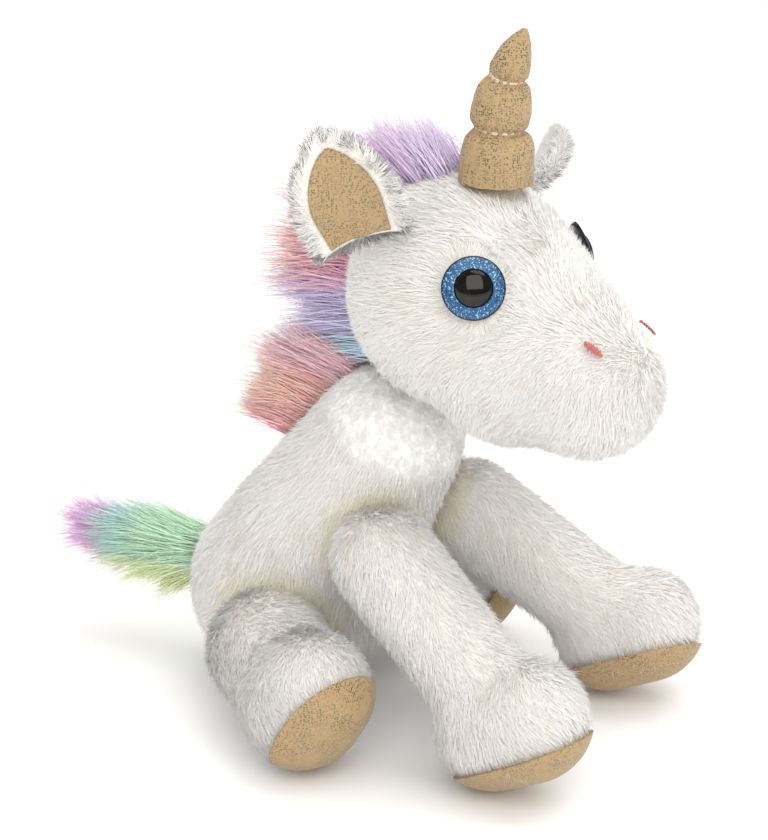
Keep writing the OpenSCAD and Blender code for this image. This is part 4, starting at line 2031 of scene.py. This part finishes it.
        def head_keep(p: Array) -> Array:
            """Where the head's pile grows: not under the eyes, nostrils or horn, nor inside the torso.

            Args:
                p: Places.

            Returns:
                True where it grows.
            """
            buried = outside(torso_form, p) < -6 * MM
            nose_gap = np.min([np.linalg.norm(p - q, axis=1) for q in noses], axis=0)
            off_horn = np.linalg.norm(p[:, :2] - horn[:2], axis=1) > 11.5 * MM
            return ~buried & (eye_gap(p) > 11.0 * MM) & (nose_gap > 1.6 * MM) & (off_horn | (p[:, 2] < 0.2))

        def head_scale(p: Array) -> Array:
            """How long the head's pile is: shorter round the eyes and nostrils."""
            nose_gap = np.min([np.linalg.norm(p - q, axis=1) for q in noses], axis=0)
            return (0.85 + 0.15 * smooth_step(eye_gap(p), 11 * MM, 24 * MM)) * (
                0.6 + 0.4 * smooth_step(nose_gap, 4 * MM, 14 * MM))

        def head_warmth(p: Array) -> Array:
            """How much warm shade is painted on the head's pile, most in the crease by the torso."""
            return smooth_step(outside(torso_form, p), 6 * MM, -4 * MM) * 0.5

        for name, seed, part in (
            ("head_pile_face", 31, lambda p: p[:, 1] < -0.088),
            ("head_pile_crown", 32, lambda p: p[:, 1] >= -0.088),
        ):
            self.coat(name, self.head_skin, "head", head_hairs, Groom(
                head_flow, lambda p, part=part: head_keep(p) & part(p), head_scale, head_warmth),
                Coat(seed=seed))

    def soles(self) -> None:
        """Makes the gold soles."""
        for leg in self.legs:
            sole = leg.sole()
            points = coordinates(sole.data)
            points[:, 2] = np.maximum(points[:, 2], 0.3 * MM)
            set_coordinates(sole.data, points)
            dress(sole, self.finishes.foil)
            self.pad(sole, leg.body, "gold_foil", 0.85, leg.body.replace("_leg_", "_sole_"))

    def face(self) -> None:
        """Makes the eyes and nostrils."""
        for side in Side:
            eye = Eye(self.head, side)
            moulded = eye.moulded()
            dress(moulded, self.finishes.eye)
            self.put(moulded, "head", "eye_plastic", f"eye_{side.word}")
            ring = eye.ring()
            dress(ring, self.finishes.glitter)
            self.put(ring, "head", "glitter", f"eye_ring_{side.word}")
            nostril = Nostril(self.head, side).stitched()
            dress(nostril, self.finishes.nostril)
            self.put(nostril, "head", "nostril_thread", f"nostril_stitch_{side.word}")

    def horn(self) -> None:
        """Makes the horn and its ties."""
        horn = Horn(self.head)
        cover = horn.cover()
        dress(cover, self.finishes.foil)
        self.pad(cover, "head", "gold_foil", 0.9, "horn_cover", "horn_filling")
        for name, at, waist in (
            ("lower", horn.low_tie, horn.low_waist),
            ("upper", horn.high_tie, horn.high_waist),
        ):
            tie = horn.tie(f"horn_tie_{name}_thread", at, waist, 2)
            dress(tie, self.finishes.tie)
            self.put(tie, "head", "tie_thread", f"horn_tie_{name}")

    def ears(self) -> None:
        """Makes the ears: plush backs, foil linings and the pile round them."""
        right = Ear(self.head, Side.RIGHT, Vector((-48.0, -24.7, 91.0)) * MM,
                    Vector((-18, 7, 44)), Vector((-0.8, -0.55, 0.1)))
        left = Ear(self.head, Side.LEFT, Vector((46, -25.3, 87.6)) * MM,
                   Vector((44, 4, 24)), Vector((0.4, -0.75, -0.5)))
        for number, ear in enumerate((right, left)):
            word = ear.side.word
            back = ear.leaf(f"ear_{word}_back", 2.5 * MM, 0.0, -0.6 * MM, ear.back_t, 22, 26)
            dress(back, self.finishes.backing)
            self.pad(back, f"ear_{word}", "white_pile", 0.3, f"ear_back_{word}")
            lining = ear.leaf(f"ear_{word}_foil", 5.4 * MM, 1.7 * MM, 0.9 * MM, 0.8 * MM, 44, 52)
            dress(lining, self.finishes.foil)
            self.pad(lining, f"ear_{word}", "gold_foil", 0.2, f"ear_lining_{word}")
            into = np.array(ear.placing().inverted())

            def local(p: Array, into: Array = into) -> Array:
                """Places in the ear's own frame."""
                return p @ into[:3, :3].T + into[:3, 3]

            def flow(p: Array, n: Array, ear: Ear = ear, local: Callable = local) -> Array:
                """Which way the ear's pile lies: outward and up.

                Args:
                    p: Places.
                    n: Normals there; not used.
                    ear: The ear.
                    local: Takes places to its own frame.

                Returns:
                    Directions.
                """
                q = local(p)
                out = np.stack([q[:, 0] * 1.1, np.zeros(len(q)), q[:, 2] - ear.length * 0.25], axis=1)
                turn = np.array(ear.placing())[:3, :3]
                return unit(out) @ turn.T

            def keep(p: Array, ear: Ear = ear, local: Callable = local) -> Array:
                """Where the ear's pile grows: its back, rim and tip, not the lining.

                Args:
                    p: Places.
                    ear: The ear.
                    local: Takes places to its own frame.

                Returns:
                    True where it grows.
                """
                q = local(p)
                v = np.clip(q[:, 2] / ear.length, 0, 1)
                edge = np.abs(q[:, 0]) > ear.half_width(v, 4.6 * MM)
                behind = q[:, 1] > ear.surface(
                    q[:, 0] / np.maximum(ear.half_width(v, 0), 1e-6), v, 0.0, 0.0)[:, 1] + 1.2 * MM
                return (edge & (q[:, 2] > 5 * MM)) | behind | (v > 0.86)

            groom = Groom(flow, keep)
            self.coat(f"ear_{word}_pile", back, f"ear_{word}", 14000, groom,
                      Coat(length=6.0 * MM, seed=51 + number, stir=0.3))

    def mane(self) -> None:
        """Makes the mane on the head and on the neck."""
        skull = self.head.skull_off
        locks = []
        rng = np.random.default_rng(71)
        near_roots = ("E6D5FA", "EBCDF7", "FAC6E4", "FBB2D8", "FBB2D6", "FABDDE", "D9D0F8", "C3E7F8")
        near_tips = ("F1E1FC", "F6DCF8", "FDD3E6", "FFCFC9", "FFD0C2", "FCD3E2", "E6DCFA", "D9F1FA")
        palette = [srgb(c) for c in near_roots]
        tips = [srgb(c) for c in near_tips]
        angles = np.arange(80, -44, -5.2)
        for row, angle in enumerate(angles):
            share = row / (len(angles) - 1)
            hue = share * (len(palette) - 1)
            for across in (-7.5, -2.5, 2.5, 7.5):
                a = math.radians(angle + rng.normal(0, 2))
                x = (across + rng.normal(0, 0.8)) * MM
                off = Vector((x, skull.y + (self.head.skull_r - 4 * MM) * math.cos(a),
                              skull.z + (self.head.skull_r - 4 * MM) * math.sin(a)))
                out = Vector((x * 14, math.cos(a), math.sin(a)))
                back = Vector((0, 1, 0.12 - 0.1 * share))
                outward, rearward = 0.7 - 0.45 * share, 0.4 + 0.55 * share
                aim = self.head.aimed(out.normalized() * outward + back * rearward)
                pick = int(np.clip(round(hue + rng.normal(0, 0.45)), 0, len(palette) - 1))
                long = (26 + 26 * math.sin(share * 2.4)) * MM
                root = np.array(self.head.at(off))
                locks.append(Lock(root, np.array(aim), long, palette[pick], tips[pick]))
        made = LongPile(hairs=80, seed=72, sag=0.10).grow("mane_head_pile", locks)
        dress(made, self.finishes.mane)
        self.put(made, "head", "mane_pile", "mane_head")

        locks = []
        torso = self.torso
        slope = (torso.belly - NECK).normalized()
        lean = math.asin((torso.belly_r - torso.neck_r) / (torso.belly - NECK).length)
        side = Vector((0, -slope.z, slope.y))
        out = (side * math.cos(lean) - slope * math.sin(lean)).normalized()
        along = Vector((0, out.z, -out.y))
        coral = [srgb(c) for c in ("FBC6D3", "FCC6BC", "FCBDB5", "F8A6B8")]
        pale = [srgb(c) for c in ("FCD9DD", "FFDCC9", "FCCFC4", "F9BCC8")]
        for step in np.arange(-14, 34, 4.0):
            for across in (-7.5, -2.5, 2.5, 7.5):
                root = NECK + out * (torso.neck_r - 3.5 * MM) + along * (step * MM)
                root = root + Vector((across * MM, 0, 0))
                aim = out * 0.45 + Vector((across * 0.015, 0.8, 0.16 - 0.1 * (step > 20)))
                pick = int(np.clip(round((step + 8) / 13 + rng.normal(0, 0.5)), 0, 3))
                long = (40 - 12 * abs(step - 4) / 28) * MM
                locks.append(Lock(np.array(root), np.array(aim), long, coral[pick], pale[pick]))
        made = LongPile(hairs=90, seed=73, sag=0.12).grow("mane_neck_pile", locks)
        dress(made, self.finishes.mane)
        self.put(made, "torso", "mane_pile", "mane_neck")

    def tail(self) -> None:
        """Makes the tail."""
        rng = np.random.default_rng(81)
        locks = []
        root = np.array(TAIL_ROOT)
        for ring, start in enumerate((-4, 3, 10, 18, 27, 36)):
            count = (16, 15, 14, 12, 9, 6)[ring]
            for k in range(count):
                angle = (k + rng.random() * 0.5) / count * 2 * math.pi
                r = (6.6 - ring * 0.9) * MM
                place = root + np.array([r * math.cos(angle), start * MM, r * math.sin(angle) * 1.25])
                up = math.sin(angle)
                fall = (0.55 - 0.13 * ring) * max(-up, 0)
                aim = np.array([0.16 * math.cos(angle), 1.0, 0.10 * max(up, 0) - fall])
                long = (42 - 13 * max(-up, 0) * (ring < 3)) * MM
                locks.append(Lock(place, aim, long, (1, 1, 1), (1, 1, 1), spread=3 * MM))

        mint, yellow, aqua, pink = (np.array(srgb(c)) for c in ("D2F7D6", "F3FCC0", "C0EEE8", "F7BFF3"))
        pale = np.array(srgb("FBDDF8"))

        def shade_at(p: Array, s: Array) -> Array:
            """Colours of the tail: green at its root, yellow below, blue, then pink to the tip.

            Args:
                p: Places.
                s: Share of each hair's length; not used.

            Returns:
                Colours.
            """
            y = (p[:, 1] - root[1]) / (78 * MM)
            z = (p[:, 2] - root[2]) / (16 * MM)
            wob = 0.06 * np.sin(p[:, 2] * 900) + 0.05 * np.sin(p[:, 0] * 700 + 1)
            tone = mint + (yellow - mint) * (smooth_step(z + wob * 2, -0.15, -0.75))[:, None]
            blue = smooth_step(y + wob, 0.28, 0.52)[:, None] * smooth_step(z, -0.9, 0.1)[:, None]
            tone = tone + (aqua - tone) * blue
            rosy = smooth_step(y + wob, 0.58, 0.74)[:, None]
            tone = tone + (pink - tone) * rosy
            return tone + (pale - tone) * (smooth_step(y, 0.9, 1.15) * 0.7)[:, None]

        made = LongPile(hairs=90, seed=82, sag=0.06, draw=0.65).grow("tail_plume_pile", locks, shade_at)
        dress(made, self.finishes.tail)
        self.put(made, "tail", "tail_pile", "tail_plume")

    def inner_pieces(self) -> None:
        """Dresses the CAD nodes that stay: neck filling, tail core and eye washers."""
        for name, node in frame["nodes"].items():
            if node.hide_render:
                continue
            if name.startswith("eye_washer"):
                dress(node, self.finishes.washer)
            elif name == "tail_core":
                dress(node, self.finishes.backing)
            else:
                dress(node, self.finishes.stuffing)
            log.info("%s stays as made", name)


def main() -> None:
    """Builds the stage and the toy."""
    logging.basicConfig(level=logging.INFO, format="%(name)s: %(message)s")
    Studio().build()
    finishes = Finishes()
    toy = Toy(finishes)
    toy.stuffed_forms()
    toy.soles()
    toy.coats()
    toy.face()
    toy.horn()
    toy.ears()
    toy.mane()
    toy.tail()
    toy.inner_pieces()


if __name__ == "__main__":
    main()
